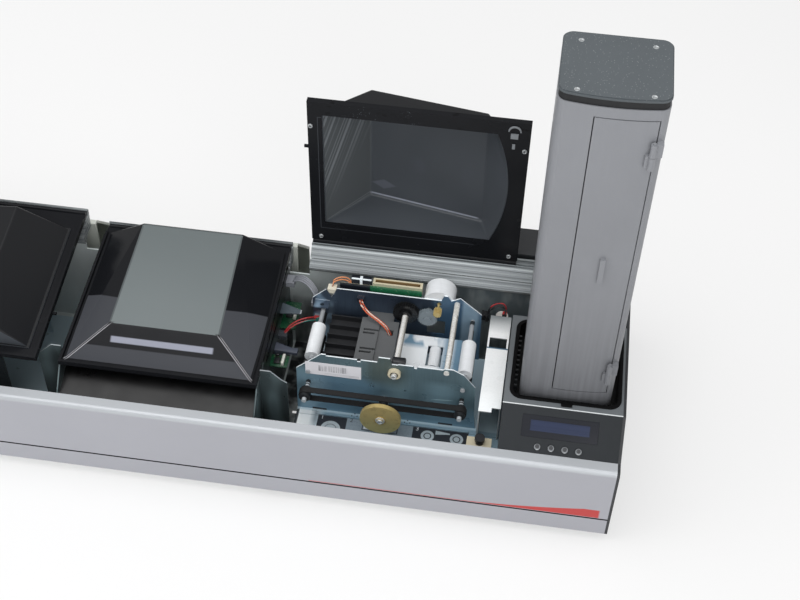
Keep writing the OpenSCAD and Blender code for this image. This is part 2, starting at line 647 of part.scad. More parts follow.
module motor_pinion() color("goldenrod") at_bay() translate([motor_x, 0, motor_z]) {
    translate([0, gear_y - 1, 0]) gear(pinion_teeth, pinion_turn, gear_w + 2);
    translate([0, gear_y + gear_w, 0]) rod_y(1.5, rear_plate_y - gear_y - gear_w + 6);
}
module drive_motor() color("white") at_bay() translate([motor_x, rear_plate_y + plate_t, motor_z])
    difference() {
        union() {
            rod_y(17.5, 22);
            translate([0, 22, 0]) rod_y(12, 3);
        }
        translate([0, -1, 0]) rod_y(pinion_r + 2, 9);
    }

module transport_roller(x, z) at_bay() translate([x, 0, z]) {
    translate([0, path_y - roller_l / 2, 0]) rod_y(roller_r, roller_l);
    translate([0, front_plate_y - 2, 0]) rod_y(shaft_r, rear_plate_y - front_plate_y + plate_t + 4);
}
module entry_roller() color("white") transport_roller(roller_left_x, upper_z);
module exit_roller() color("white") transport_roller(roller_right_x, upper_z);
module drive_shaft(x) at_bay() translate([x, 0, lower_z]) {
    translate([0, path_y - roller_l / 2, 0]) rod_y(roller_r - 0.2, roller_l);
    translate([0, belt_y - 11, 0]) rod_y(shaft_r, rear_plate_y + plate_t + 2 - belt_y + 11);
    translate([0, belt_y - belt_w / 2 - 1, 0]) rod_y(pulley_r, belt_w + 2);
    for (y = [belt_y - belt_w / 2 - 2.6, belt_y + belt_w / 2 + 1]) translate([0, y, 0])
        rod_y(pulley_r + 0.2, 1.6);
}
module left_drive_shaft() color("dimgray") drive_shaft(roller_left_x);
module right_drive_shaft() color("dimgray") drive_shaft(roller_right_x);
module flywheel() color("goldenrod") at_bay() translate([wheel_x, 0, wheel_z]) {
    translate([0, belt_y - belt_w / 2 - 3 - wheel_t, 0]) difference() {
        rod_y(wheel_r, wheel_t);
        translate([0, -0.5, 0]) difference() {
            rod_y(7, 1.3);
            rod_y(5.2, 2);
        }
    }
    translate([0, belt_y - belt_w / 2 - 3 - wheel_t - 1.4, 0]) rod_y(4, 2);
    translate([0, belt_y - belt_w / 2 - 3, 0]) rod_y(shaft_r, front_plate_y - belt_y + belt_w / 2 + 12);
    translate([0, belt_y - belt_w / 2 - 1, 0]) rod_y(wheel_pulley_r, belt_w + 2);
}
// Flat belt round both pulleys, with its back on the flywheel's pulley
module belt_2d(r) {
    translate([roller_left_x, -r]) square([roller_right_x - roller_left_x, 2 * r]);
    for (x = [roller_left_x, roller_right_x]) translate([x, 0]) circle(r);
}
module drive_belt() color("black") at_bay() translate([0, belt_y + belt_w / 2, lower_z])
    rotate([90, 0, 0]) linear_extrude(belt_w) difference() {
        belt_2d(pulley_r + belt_t);
        belt_2d(pulley_r + run_fit);
    }
module floor_roller() color("white") at_bay() translate([idle_x, 0, path_z - idle_r]) {
    translate([0, idle_y, 0]) rod_y(idle_r, idle_l);
    translate([0, idle_y - 5, 0]) rod_y(1.5, idle_l + 10);
}

// ---- card guide, head and sensors ----
guide_y = front_plate_y + 6;
guide_d = rear_plate_y - guide_y - 4;
module card_guide() color("black") at_bay() translate([bx(-205), guide_y, path_z - 12]) {
    cube([37, guide_d, 5]);
    for (i = [0 : 6]) translate([0, 2 + i * (guide_d - 6) / 6, 4.5]) cube([37, 2, 7.1]);
    translate([6, 6, -(path_z - 12 - floor_z)]) cube([26, guide_d - 12, path_z - 12 - floor_z]);
}
head_x = bx(-167);
head_y = front_plate_y + 19;
head_d = 62;
module head_block() color("gray") at_bay() translate([head_x, head_y, path_z + card_t + 1]) difference() {
    union() {
        cube([20.8, head_d, 15]);
        translate([20.8, 2, 0]) cube([20.8, head_d - 2, 12.5]);
        translate([4, head_d - 6, 0]) cube([30, rear_plate_y - head_y - head_d + 6, 4]);
    }
    for (y = [10, 38]) translate([4, y, 9]) {
        cube([13, 2.6, 12]);
        translate([0, 5, 0]) cube([17, 2.6, 12]);
    }
    translate([27, head_d - 8, -1]) cylinder(r = 1.8, h = 20);
    translate([31, head_d - 21, -1]) cube([6, 8, 20]);
}
module sensor_board() color("seagreen") at_bay() {
    translate([bx(-197), rear_plate_y + 5, 120]) cube([93, 1.6, 52]);
    translate([bx(-197) + 37, rear_plate_y + 6.4, 164]) difference() {
        cube([56, 9, 12]);
        translate([3, 2.5, 4]) cube([50, 4, 9]);
    }
    for (x = [5, 73]) translate([bx(-197) + x, rear_plate_y + plate_t, 135]) rod_y(2.5, 3.6);
}
switch_y = 36;
plunger_r = 4;
plunger_travel = 4;
module lid_switch() color("wheat") at_bay() difference() {
    union() {
        translate([-34, switch_y - 7, 94]) cube([27, 14, 8]);
        translate([-33, switch_y - 5, floor_z]) cube([5.4, 9, 20]);
    }
    translate([-20, switch_y, 90]) cylinder(r = plunger_r + gap, h = 16);
}
module lid_plunger() color("black") at_bay() translate([-20, switch_y, 91]) {
    cylinder(r = plunger_r, h = 15 + plunger_travel);
    translate([0, 0, 11.5 + plunger_travel]) cylinder(r = plunger_r + 1.6, h = 4.5);
}

// Wires held at both ends: a smooth curve through the route's points, with a round section
wire_sides = 8;
function curve(a, b, c, d, t) =
    0.5 * (2 * b + (c - a) * t + (2 * a - 5 * b + 4 * c - d) * t * t + (3 * b - a - 3 * c + d) * t * t * t);
function smooth(p, n) = let(e = len(p) - 1) [
    for (i = [0 : e - 1], j = [0 : n - 1])
        curve(p[max(i - 1, 0)], p[i], p[i + 1], p[min(i + 2, e)], j / n),
    p[e]
];
function unit(v) = v / norm(v);
function ring(p, i, r, side) = let(
    e = len(p) - 1,
    t = unit(p[min(i + 1, e)] - p[max(i - 1, 0)]),
    u = unit(cross(t, side)),
    v = cross(t, u)
) [for (k = [0 : wire_sides - 1]) let(a = 360 * k / wire_sides) p[i] + r * (u * cos(a) + v * sin(a))];
// The side direction is one that the route never runs along
module wire(route, r, side = [1, 0, 0]) {
    p = smooth([for (q = route) [bx(q[0]), q[1], q[2]]], 3);
    e = len(p) - 1;
    n = wire_sides;
    polyhedron([for (i = [0 : e]) each ring(p, i, r, side)], [
        [for (k = [0 : n - 1]) k],
        for (i = [0 : e - 1], k = [0 : n - 1])
            [i * n + k, (i + 1) * n + k, (i + 1) * n + (k + 1) % n, i * n + (k + 1) % n],
        [for (k = [n - 1 : -1 : 0]) e * n + k]
    ]);
}
head_wire = [[-172, 173, 158], [-169, 163, 161], [-161, 154, 158], [-150, 149, 154], [-139, 142, 151],
    [-133, 139, 141]];
motor_wire = [[-10, 198, 133.5], [-9, 197, 143], [-13, 196, 150], [-21, 196, 148], [-27, 196, 141],
    [-29, 197, 130], [-29, 201, 118], [-31, 210, 110], [-32, 217, 107]];
grey_wire = [[-258, 205, 140], [-251, 204, 147], [-242, 200, 150], [-233, 194, 148], [-226, 187, 142],
    [-226, 184, 135]];
gap_wire = [[-258, 150, 108], [-252, 155, 116], [-243, 160, 121], [-233, 165, 122], [-226, 169, 120],
    [-222, 172, 118]];
board_wire = [[-206, 183, 160], [-205, 186, 168], [-197, 189, 171], [-189, 190, 169], [-184, 186, 165]];
module plug(at, size) translate([bx(at[0]), at[1], at[2]] - size / 2) cube(size);
module internal_wiring() color("orangered") at_bay() {
    for (s = [-1, 1]) wire([for (p = head_wire) p + [1.1 * s, 0.6 * s, 0]], 0.9);
    for (s = [-1, 1]) wire([for (p = motor_wire) p + [0, 2 * s, 0.6 * s]], 0.9, [1, 1, 0]);
    for (s = [-1.5, -0.5, 0.5, 1.5]) wire([for (p = grey_wire) p + [0.4 * s, 2.6 * s, 0]], 1.1, [0, 1, 1]);
    for (s = [-1, 1]) wire([for (p = gap_wire) p + [0, 1.4 * s, s]], 0.9, [0, 1, 0]);
    for (s = [-1, 1]) wire([for (p = board_wire) p + [0, 1.6 * s, 0.4 * s]], 0.8, [0, 1, 0]);
    plug([-172, rear_plate_y - 2.5, 158], [8, 5, 5]);
    plug([-10, motor_y + 1, bracket_z - 1.5], [5, 6, 3]);
    plug([-32, wall_y - 4, 106], [9, 8, 8]);
    plug([-259, 205, 140], [10, 13, 7]);
    plug([-226, 184, 134], [9, 13, 6]);
    plug([-259, 150, 107], [10, 9, 6]);
    plug([-222, rear_plate_y - 3.5, 118], [8, 7, 7]);
    plug([-206, rear_plate_y + plate_t + 4.5, 160], [10, 9, 6]);
    plug([-184, rear_plate_y + 9.6, 165], [8, 6, 6]);
}

// ---- lids: drawn open, x to the right, y out of the lid, z up from the hinge ----
// A window is [left, right, lower edge, upper edge, bow of the right side]
module lid_frame(w, l, window) {
    translate([0, lid_t / 2, 0]) rotate([90, 0, 0]) linear_extrude(lid_t) difference() {
        translate([0, bead_r + 0.6]) square([w, l - bead_r - 0.6]);
        lid_opening(window, 0);
    }
    translate([0, lid_rim - lid_t / 2, 0]) rotate([90, 0, 0]) linear_extrude(lid_rim - lid_t) difference() {
        translate([0, 12]) square([w, l - 12]);
        translate([3, 11]) square([w - 6, l - 14]);
    }
    translate([1, 0, 0]) rod_x(bead_r, w - 2);
    translate([1, -0.9, 0]) cube([w - 2, 1.8, bead_r + 2]);
}
// Window opening: straight on one side, bowed on the other
module lid_opening(window, wider) {
    x0 = window[0] - wider;
    z0 = window[2] - wider;
    tall = window[3] + wider - z0;
    bow = window[4];
    bow_r = (pow(tall / 2, 2) + pow(bow, 2)) / (2 * bow);
    translate([x0, z0]) square([window[1] + wider - x0 - bow, tall]);
    intersection() {
        translate([window[1] + wider - bow_r, z0 + tall / 2]) circle(bow_r, $fn = max(120, bow_r / 5));
        translate([x0, z0]) square([window[1] + wider - x0, tall]);
    }
}
// Moulded hood: crest points are (x, out, up), and r is the rounding of the ridges
module hood_form(window, wider, crest, r) hull() {
    translate([0, lid_t / 2 + 0.6, 0]) rotate([90, 0, 0]) linear_extrude(0.6) lid_opening(window, wider);
    for (c = crest) translate(c) sphere(r, $fn = 20);
}
module hood(window, crest, r, flange) difference() {
    union() {
        hood_form(window, hood_t, crest, r);
        translate([0, lid_t / 2 + 1.8, 0]) rotate([90, 0, 0]) linear_extrude(1.8) lid_opening(window, flange);
    }
    translate([0, -0.7, 0]) hood_form(window, 0, [for (c = crest) c - [0, hood_t - 0.7, 0]], r);
    translate([0, lid_t / 2 + 1, 0]) rotate([90, 0, 0]) linear_extrude(2) lid_opening(window, 0);
}
module at_hinge(x, z = hinge_z) translate([x, front + hinge_y, z]) children();
bay_window = [15.6, lid_w - 18.4, 30, lid_len - 17, 16];
bay_crest = [[62, 47, 40], [lid_w - 47, 27, 36], [62, 47, lid_len - 20], [lid_w - 49, 28, lid_len - 20]];
module latch_bits() {
    translate([lid_w - 17, -lid_t / 2, lid_len - 20]) {
        translate([-4, -2, 0]) cube([8, 2.4, 6]);
        translate([-1.5, -1.6, -14]) cube([3, 2, 6]);
    }
    translate([lid_w - 17, -lid_t / 2 - 1.6, lid_len - 11]) difference() {
        rod_y(7, 1.8);
        translate([0, -1, 0]) rod_y(5.6, 4);
        translate([-10, -1, -12]) cube([20, 4, 12]);
    }
    translate([-4.6, -1.2, lid_len - 64]) cube([5, 2.4, 3]);
    for (p = [[3.2, lid_len - 32.5], [lid_w - 5, lid_len - 36.5], [11, 9.6], [lid_w - 10, 10.6]])
        translate([p[0], -lid_t / 2 - 1.4, p[1]]) rod_y(2.4, 1.6);
}
module encoder_lid_frame() color("black") at_hinge(encoder_lid_x) {
    lid_frame(lid_w, lid_len, bay_window);
    latch_bits();
}
module encoder_lid_hood() color("dimgray") at_hinge(encoder_lid_x) hood(bay_window, bay_crest, ridge_r, 4);
module at_shut(x) at_hinge(x) rotate([close_angle, 0, 0]) children();
module flip_lid_frame() color("black") mirror([1, 0, 0]) at_shut(encoder_lid_x) {
    lid_frame(lid_w, lid_len, bay_window);
    latch_bits();
}
module flip_lid_hood() color("dimgray") mirror([1, 0, 0]) at_shut(encoder_lid_x)
    hood(bay_window, bay_crest, ridge_r, 4);

// The print hood covers its lid from edge to edge
print_window = [7, print_w - 7, 15, print_len - 7, 2];
print_crest = [
    [53, 28, 21], [print_w - 53, 28, 21], [50, 19, 155], [print_w - 50, 19, 155]
];
module at_print() at_hinge(print_lid_x, print_z) rotate([90 + print_tilt, 0, 0]) children();
module print_lid_frame() color("black") at_print() lid_frame(print_w, print_len, print_window);
module print_lid_hood() color("dimgray") at_print() hood(print_window, print_crest, print_ridge_r, 3);

// ---- print bay ----
side_x = print_w / 2 - 1;               // side plates under the print lid's edges
spool_x = 52;
spool_z = path_z + 17;
bridge_z = path_z + 25;                 // top of the plates that carry the spools
platen_r = 9;
platen_z = path_z - platen_r;
spool_r = 3;
module print_chassis() color("slategray") {
    for (m = [0, 1]) mirror([m, 0, 0]) translate([side_x, front, 0]) difference() {
        run_x(plate_t) polygon([
            [rail_d + 4, box_z], [rail_d + 4, 110], [44, print_under(44)],
            [wall_y - 6, print_under(wall_y - 6)], [wall_y - 6, box_z]
        ]);
        translate([-1, path_y - 30, path_z - 3]) cube([plate_t + 2, 60, 5]);
        for (y = [50, 170]) translate([-1, y, 40]) cube([plate_t + 2, 24, 30]);
    }
    for (m = [0, 1]) mirror([m, 0, 0]) translate([side_x + plate_t - 0.5, front + 58, 0])
        // front gusset beside the encoder's floor
        wall_xz([
            [0, box_z], [0, print_under(58)], [1, print_under(58)],
            [1, lid_under(58) + 8], [lid_gap / 2, lid_under(58) + 8],
            [lid_gap - 0.5, lid_under(58) - 4], [lid_gap + 5.5, lid_under(58) - 8], [lid_gap + 6, box_z]
        ], plate_t);
    // front apron and the plates that carry the shafts
    translate([-side_x, front, 0]) run_x(2 * side_x) polygon([
        [rail_d + 4, 108], [58, 121], [58, 122.5], [rail_d + 4, 109.5]
    ]);
    for (y = [front_plate_y, rear_plate_y]) translate([0, front + y, 0]) difference() {
        wall_xz([
            [-side_x, box_z], [-side_x, 118], [18 - side_x, 126], [28 - side_x, bridge_z - 6],
            [46 - side_x, bridge_z], [side_x - 46, bridge_z], [side_x - 28, bridge_z - 6],
            [side_x - 18, 126], [side_x, 118], [side_x, box_z]
        ], plate_t);
        for (x = [-spool_x, spool_x]) translate([x, -1, spool_z]) rod_y(spool_r + run_fit, 5);
        translate([0, -1, platen_z]) rod_y(4 + run_fit, 5);
        translate([-70, -1, 40]) cube([140, 5, 50]);
    }
}
spool_l = 60;
module spool(x, r) translate([x, front, spool_z]) {
    translate([0, path_y - spool_l / 2, 0]) rod_y(r, spool_l);
    for (y = [path_y - spool_l / 2 - 3, path_y + spool_l / 2]) translate([0, y, 0]) rod_y(15, 3);
    translate([0, front_plate_y - 2, 0]) rod_y(spool_r, rear_plate_y - front_plate_y + plate_t + 4);
}
module ribbon_supply_spool() color("black") spool(spool_x, 13);
module ribbon_takeup_spool() color("black") spool(-spool_x, 9);
head_z = path_z + card_t + 1;
module print_head() color("silver") translate([0, front, head_z]) {
    translate([-4, path_y - 30, 0]) cube([8, 60, 12]);
    translate([-13, path_y - 32, 10]) cube([26, 64, 6]);
    for (i = [0 : 4]) translate([-13 + i * 6, path_y - 32, 15]) cube([2, 64, 9]);
    translate([-13, front_plate_y + plate_t, 12]) cube([26, rear_plate_y - front_plate_y - plate_t, 3]);
}
module platen_roller() color("black") translate([0, front, platen_z]) {
    translate([0, path_y - 29, 0]) rod_y(platen_r - 0.2, 58);
    translate([0, front_plate_y - 2, 0]) rod_y(4, rear_plate_y - front_plate_y + plate_t + 4);
}

// ---- flip-over bay ----
flip_x = bx(-126);
module flip_chassis() color("lightsteelblue") mirror([1, 0, 0]) at_bay() difference() {
    union() {
        translate([bx(-226), rail_d + 4, foot_h + tray_t]) cube([bx(200), 196, plate_t]);
        for (y = [60, 186]) translate([flip_x - 64, y, 0]) wall_xz([
            [0, foot_h + tray_t], [0, 120], [20, 148], [108, 148], [128, 120], [128, foot_h + tray_t]
        ], plate_t);
    }
    for (y = [60, 186]) translate([flip_x, y - 1, path_z]) rod_y(5 + run_fit, 5);
}
module flip_drum() color("gray") mirror([1, 0, 0]) at_bay() translate([flip_x, 0, path_z]) {
    difference() {
        translate([0, 66, 0]) union() {
            rod_y(30, 8);
            translate([0, 106, 0]) rod_y(30, 8);
            translate([-30, 6, -6]) cube([60, 102, 12]);
        }
        translate([-40, 78, -1]) cube([80, 90, 2]);
    }
    translate([0, 56, 0]) rod_y(5, 12);
    translate([0, 178, 0]) rod_y(5, 12);
}

base_tray();
front_panel();
right_end_cover();
left_end_cover();
rear_cover();
feet();
hinge_rails();
power_inlet();
print_chassis();
feeder_deck();
control_panel();
lcd_window();
button(0);  // button_1
button(1);  // button_2
button(2);  // button_3
button(3);  // button_4
feeder_tower();
feeder_tower_door();
tower_caps();
card_weight();
feed_roller();
feed_bracket();
feed_motor();
stacker_deck();
stacker_tower();
stacker_tower_door();
encoder_front_plate();
encoder_floor();
encoder_rear_plate();
tie_rod();
shaft_bush();
entry_roller();
exit_roller();
left_drive_shaft();
right_drive_shaft();
flywheel();
drive_belt();
main_shaft();
idler_gear();
motor_pinion();
drive_motor();
floor_roller();
card_guide();
head_block();
sensor_board();
lid_switch();
lid_plunger();
internal_wiring();
encoder_lid_frame();
encoder_lid_hood();
print_lid_frame();
print_lid_hood();
flip_lid_frame();
flip_lid_hood();
print_head();
platen_roller();
ribbon_supply_spool();
ribbon_takeup_spool();
flip_chassis();
flip_drum();
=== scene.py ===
"""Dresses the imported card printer: a finish for every CAD node, the small trim, and the stage."""

import json
import math

import bmesh
import bpy
from mathutils import Matrix, Vector


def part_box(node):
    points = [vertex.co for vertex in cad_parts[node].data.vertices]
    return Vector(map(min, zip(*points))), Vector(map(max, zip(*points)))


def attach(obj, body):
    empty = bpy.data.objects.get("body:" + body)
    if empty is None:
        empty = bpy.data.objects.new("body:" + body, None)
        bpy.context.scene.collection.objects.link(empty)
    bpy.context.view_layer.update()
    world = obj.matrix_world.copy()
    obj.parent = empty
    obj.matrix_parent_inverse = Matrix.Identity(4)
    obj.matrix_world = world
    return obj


bl_info = {
    "name": "Card Printer Dressing",
    "version": (1, 0, 0),
    "blender": (4, 5, 0),
    "location": "View3D > Sidebar > Printer",
    "description": "Finishes, labels, boards, screws and the studio of a long card printer",
    "category": "Object",
}

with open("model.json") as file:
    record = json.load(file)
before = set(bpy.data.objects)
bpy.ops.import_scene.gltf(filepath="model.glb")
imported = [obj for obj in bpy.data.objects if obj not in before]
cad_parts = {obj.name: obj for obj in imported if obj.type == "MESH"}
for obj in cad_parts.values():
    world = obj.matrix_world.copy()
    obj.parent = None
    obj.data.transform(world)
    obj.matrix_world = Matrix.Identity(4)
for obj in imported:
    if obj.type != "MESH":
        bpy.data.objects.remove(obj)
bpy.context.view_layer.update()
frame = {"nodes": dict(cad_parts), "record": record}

MM = 0.001
MICRON = 0.001 * MM
FRONT_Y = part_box("front_panel")[0].y
RAIL_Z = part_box("front_panel")[1].z
FEEDER_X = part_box("feeder_deck")[0].x
FLOOR_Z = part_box("encoder_front_plate")[0].z
PLATE_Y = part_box("encoder_front_plate")[0].y
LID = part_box("encoder_lid_frame")
LID_FACE = LID[0].y + 2.0 * MM
PRINT_MIDDLE = 374.5  # the print bay's middle is this far left of the feeder, in mm
SIDES = (("right", 1), ("left", -1))


def tone(red, green, blue):
    """A linear colour from screen values of 0 to 255."""
    def linear(value):
        share = value / 255
        return share / 12.92 if share <= 0.04045 else ((share + 0.055) / 1.055) ** 2.4
    return linear(red), linear(green), linear(blue)


def dim(rgb, share):
    return tuple(part * share for part in rgb)


def bay(x, y, z):
    """A point in metres from millimetres, measured from the feeder's front corner."""
    return Vector((FEEDER_X + x * MM, FRONT_Y + y * MM, z * MM))


# ---- sizes and colours that a user would change ----

def colour(name, description, rgb):
    return bpy.props.FloatVectorProperty(
        name=name, description=description, subtype="COLOR", size=3, min=0, max=1, default=tone(*rgb))


def length(name, description, millimetres):
    return bpy.props.FloatProperty(
        name=name, description=description, subtype="DISTANCE", unit="LENGTH", default=millimetres * MM)


class PrinterColours(bpy.types.PropertyGroup):
    silver: colour("Silver", "Painted front panel", (172, 173, 180))
    stripe: colour("Stripe", "Tapered accent stripe on the front", (190, 62, 60))
    tower: colour("Tower", "Moulded towers and their doors", (137, 139, 144))
    cover: colour("Cover", "Decks of the feeder and the stacker", (84, 88, 91))
    beige: colour("Rear cover", "Low sloping cover at the back", (206, 210, 202))
    rail: colour("Rail", "Extruded hinge rail", (138, 143, 146))
    lid: colour("Lid", "Gloss black lid frames and hoods", (24, 25, 28))
    smoked: colour("Smoked", "Inside of the smoked hoods", (66, 70, 75))
    # The window's colour is a painted reflection of the studio on the smoked print hood.
    window: colour("Window", "Tinted top of the print hood", (112, 119, 120))
    brass: colour("Brass", "Flywheel and pinion", (206, 184, 124))
    cream: colour("Cream", "Bushes and the lid switch", (226, 216, 188))
    board: colour("Board", "Circuit boards", (28, 92, 60))
    display: colour("Display", "Backlit display", (46, 54, 78))


class PrinterSizes(bpy.types.PropertyGroup):
    screw: length("Screw", "Radius of a pan head screw", 2.6)
    label: length("Label", "Thickness of the stickers", 0.2)
    tooth: length("Tooth", "Pitch of the comb beside the tower's foot", 7.0)
    stripe: length("Stripe", "Height of the accent stripe at its wide end", 13.0)


# ---- shader maths ----

SOFT = 0.2  # border of a painted patch, in mm


def joined(operation):
    """A method that joins two values by a Math node."""
    return lambda self, other: self.maths(operation, other)


class Wire:
    """A socket that can stand in a Python sum."""

    def __init__(self, graph, socket):
        self.graph = graph
        self.socket = socket

    def maths(self, operation, *values):
        return self.graph.node("Math", {"operation": operation}, self, *values)

    __add__ = __radd__ = joined("ADD")
    __sub__ = joined("SUBTRACT")
    __mul__ = __rmul__ = joined("MULTIPLY")
    __truediv__ = joined("DIVIDE")
    __mod__ = joined("FLOORED_MODULO")
    either = joined("MAXIMUM")

    def __rsub__(self, other):
        return self.graph.node("Math", {"operation": "SUBTRACT"}, other, self)

    def __abs__(self):
        return self.maths("ABSOLUTE")

    def rise(self, start, end):
        """0 below start and 1 above end; a start above the end falls instead."""
        return self.graph.node("MapRange", {"clamp": True}, self, start, end, 0.0, 1.0)

    def between(self, low, high, soft=SOFT):
        return self.rise(low - soft, low + soft) * self.rise(high + soft, high - soft)

    def away(self, other, centre, middle):
        """Distance in a plane from the point (centre, middle), this being the first axis."""
        aside, along = self - centre, other - middle
        return (aside * aside + along * along).maths("SQRT")


class Graph:
    """A node tree that grows by expressions."""

    def __init__(self, tree):
        self.tree = tree

    def node(self, kind, settings, *values, out=0, **named):
        """Adds a node with its settings, fills its sockets, and gives back one output."""
        made = self.tree.nodes.new("ShaderNode" + kind)
        for key, value in settings.items():
            setattr(made, key, value)
        pairs = [*zip(made.inputs, values)]
        pairs += [(made.inputs[key.replace("_", " ")], value) for key, value in named.items()]
        for socket, value in pairs:
            if isinstance(value, Wire):
                self.link(value, socket)
            elif value is not None:
                socket.default_value = value
        return Wire(self, made.outputs[out])

    def link(self, wire, socket):
        self.tree.links.new(wire.socket, socket)


class Finish(Graph):
    """One procedural material, built up from a plain colour."""

    def __init__(self, name, rgb, roughness=0.5, metallic=0.0, **constants):
        self.name = name
        self.material = bpy.data.materials.new(name)
        self.material.use_nodes = True
        super().__init__(self.material.node_tree)
        self.shader = self.tree.nodes["Principled BSDF"]
        self.plain = tuple(rgb)
        self.rgb = (*rgb, 1)
        constants.update(base_color=self.rgb, roughness=roughness, metallic=metallic)
        for key, value in constants.items():
            self.shader.inputs[key.replace("_", " ").title().replace("Ior", "IOR")].default_value = value
        self.place = self.node("TexCoord", {}, out=3)
        self.normal = None

    def parts(self, vector):
        split = self.node("SeparateXYZ", {}, vector)
        return [Wire(self, socket) for socket in split.socket.node.outputs]

    def axes(self):
        """The x, y and z of a point in the frame, in metres."""
        return self.parts(self.place)

    def bay(self):
        """The same in millimetres, from the feeder's left front corner at table height."""
        x, y, z = self.axes()
        return (x - FEEDER_X) / MM, (y - FRONT_Y) / MM, z / MM

    def facing(self):
        """The x, y and z of the surface's normal."""
        return self.parts(self.node("TexCoord", {}, out=1))

    def grain(self, scale, detail=2.0, stretch=None, roughness=0.5):
        """Noise whose cells are about 1 / scale metres wide."""
        spot = self.place
        if stretch:
            spot = self.node("VectorMath", {"operation": "MULTIPLY"}, spot, stretch)
        return self.node("TexNoise", {}, Vector=spot, Scale=scale, Detail=detail, Roughness=roughness)

    def streaks(self, place, scale=5.0):
        """Noise along one number, for upright bars."""
        return self.node("TexNoise", {"noise_dimensions": "1D"}, W=place, Scale=scale, Detail=0.0)

    def cells(self, scale, **settings):
        return self.node("TexVoronoi", settings, Vector=self.place, Scale=scale)

    def tint(self, rgb, mask):
        """Lays a linear colour where the mask is 1."""
        gap = [None] * 5
        self.rgb = self.node("Mix", {"data_type": "RGBA"}, mask, *gap, self.rgb, (*rgb, 1), out=2)
        return self.vary("Base Color", self.rgb)

    def paint(self, red, green, blue, mask):
        """Lays a colour of screen values where the mask is 1."""
        return self.tint(tone(red, green, blue), mask)

    def shade(self, amount, mask):
        """Darkens or lightens the plain colour by a share, following the mask."""
        return self.tint(tuple(min(1.0, part * amount) for part in self.plain), mask)

    def mottle(self, amount, scale, detail, low, high, share=1.0):
        """Shades by a noise, from its low value to its high one."""
        return self.shade(amount, self.grain(scale, detail).rise(low, high) * share)

    def satin(self, scale, detail, low, high, spread, least):
        """Lets the roughness wander by spread above its least value."""
        return self.vary("Roughness", self.grain(scale, detail).rise(low, high) * spread + least)

    def vary(self, socket, value):
        self.link(value, self.shader.inputs[socket])
        return self

    def bump(self, height, microns):
        """Raises the surface by so many microns where height is 1."""
        depth = microns * MICRON
        self.normal = self.node("Bump", {}, Strength=1.0, Distance=depth, Height=height, Normal=self.normal)
        return self.vary("Normal", self.normal)

    def pores(self, scale, microns, detail=2.0):
        return self.bump(self.grain(scale, detail), microns)


# ---- finishes: one function per material slot ----

def tray_steel():
    steel = Finish("tray_steel", tone(206, 214, 214), 0.42, 0.2)
    x, y, z = steel.bay()
    steel.paint(112, 122, 126, x.rise(-120, -60))
    # Painted shade deep in the gap between the print bay and the encoder.
    steel.paint(26, 28, 31, x.between(-262, -229, 0.5) * z.rise(100, 90) * y.rise(240, 220))
    steel.shade(0.86, steel.grain(60, 2, (1, 1, 0.3)).rise(0.4, 0.7) * 0.6)
    steel.satin(140, 3, 0.2, 0.9, 0.3, 0.3)
    return steel.pores(900, 30)


def lilac_silver(colours, sizes):
    paint = Finish("lilac_silver", colours.silver, 0.38, 0.25, coat_roughness=0.25)
    x, y, z = paint.axes()
    paint.mottle(0.93, 3.0, 2, 0.35, 0.7)
    paint.shade(1.12, paint.cells(2600).rise(0.25, 0.05) * 0.35)
    seam_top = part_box("base_tray")[0].z + 27.5 * MM
    start = FEEDER_X - 203 * MM
    tall = (x - FEEDER_X).rise(-0.035, 0.1).maths("POWER", 1.8) * sizes.stripe + 0.0009
    over_seam = z - (seam_top + 0.0006)
    stripe = (tall - over_seam).rise(-0.0001, 0.0001) * over_seam.rise(-0.0001, 0.0001)
    stripe = stripe * x.rise(start, start + 0.001) * x.rise(FEEDER_X + 0.118, FEEDER_X + 0.116)
    front = y.rise(FRONT_Y + 0.0006, FRONT_Y + 0.0004)
    # Painted highlight: the rail along the panel's top is lighter, as the light falls on it from above.
    paint.paint(186, 190, 194, z.rise(RAIL_Z - 0.0062, RAIL_Z - 0.0035) * 0.85)
    paint.tint(colours.stripe, stripe * front)
    seam = z.between(seam_top - 0.0023, seam_top, 0.0001)
    paint.paint(24, 25, 28, seam * y.rise(FRONT_Y + 0.002, FRONT_Y + 0.0018))
    paint.satin(60, 4, 0.1, 0.9, 0.12, 0.34)
    return paint.pores(2200, 20)


def moulded(name, rgb, grain=1500, roughness=0.55, depth=50, shine=0.5):
    plastic = Finish(name, rgb, roughness, specular_ior_level=shine)
    plastic.mottle(0.86, 9, 3, 0.3, 0.75)
    plastic.shade(1.18, plastic.cells(grain).rise(0.35, 0.1) * 0.35)
    plastic.satin(120, 3, 0.2, 0.8, 0.14, roughness - 0.07)
    return plastic.pores(grain, depth)


def tower_plastic(colours):
    plastic = moulded("tower_plastic", colours.tower, 1800, 0.42)
    z = plastic.axes()[2]
    # Painted shade: the tower darkens towards the bottom.
    plastic.tint(dim(colours.tower, 0.42), z.rise(0.36, 0.14) * 0.85)
    streak = plastic.grain(220, 2, (1.0, 1.0, 0.03)).rise(0.4, 0.7)
    return plastic.tint(dim(colours.tower, 0.92), streak * 0.35)


def cap_plastic():
    plastic = moulded("cap_plastic", tone(82, 88, 92), 900, 0.6, 100)
    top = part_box("tower_caps")[1].z
    z = plastic.axes()[2]
    plastic.paint(20, 21, 24, z.rise(top - 0.0025, top - 0.0035))
    fleck = plastic.cells(420).rise(0.16, 0.08)
    return plastic.paint(170, 176, 178, fleck * z.rise(top - 0.001, top - 0.0005) * 0.7)


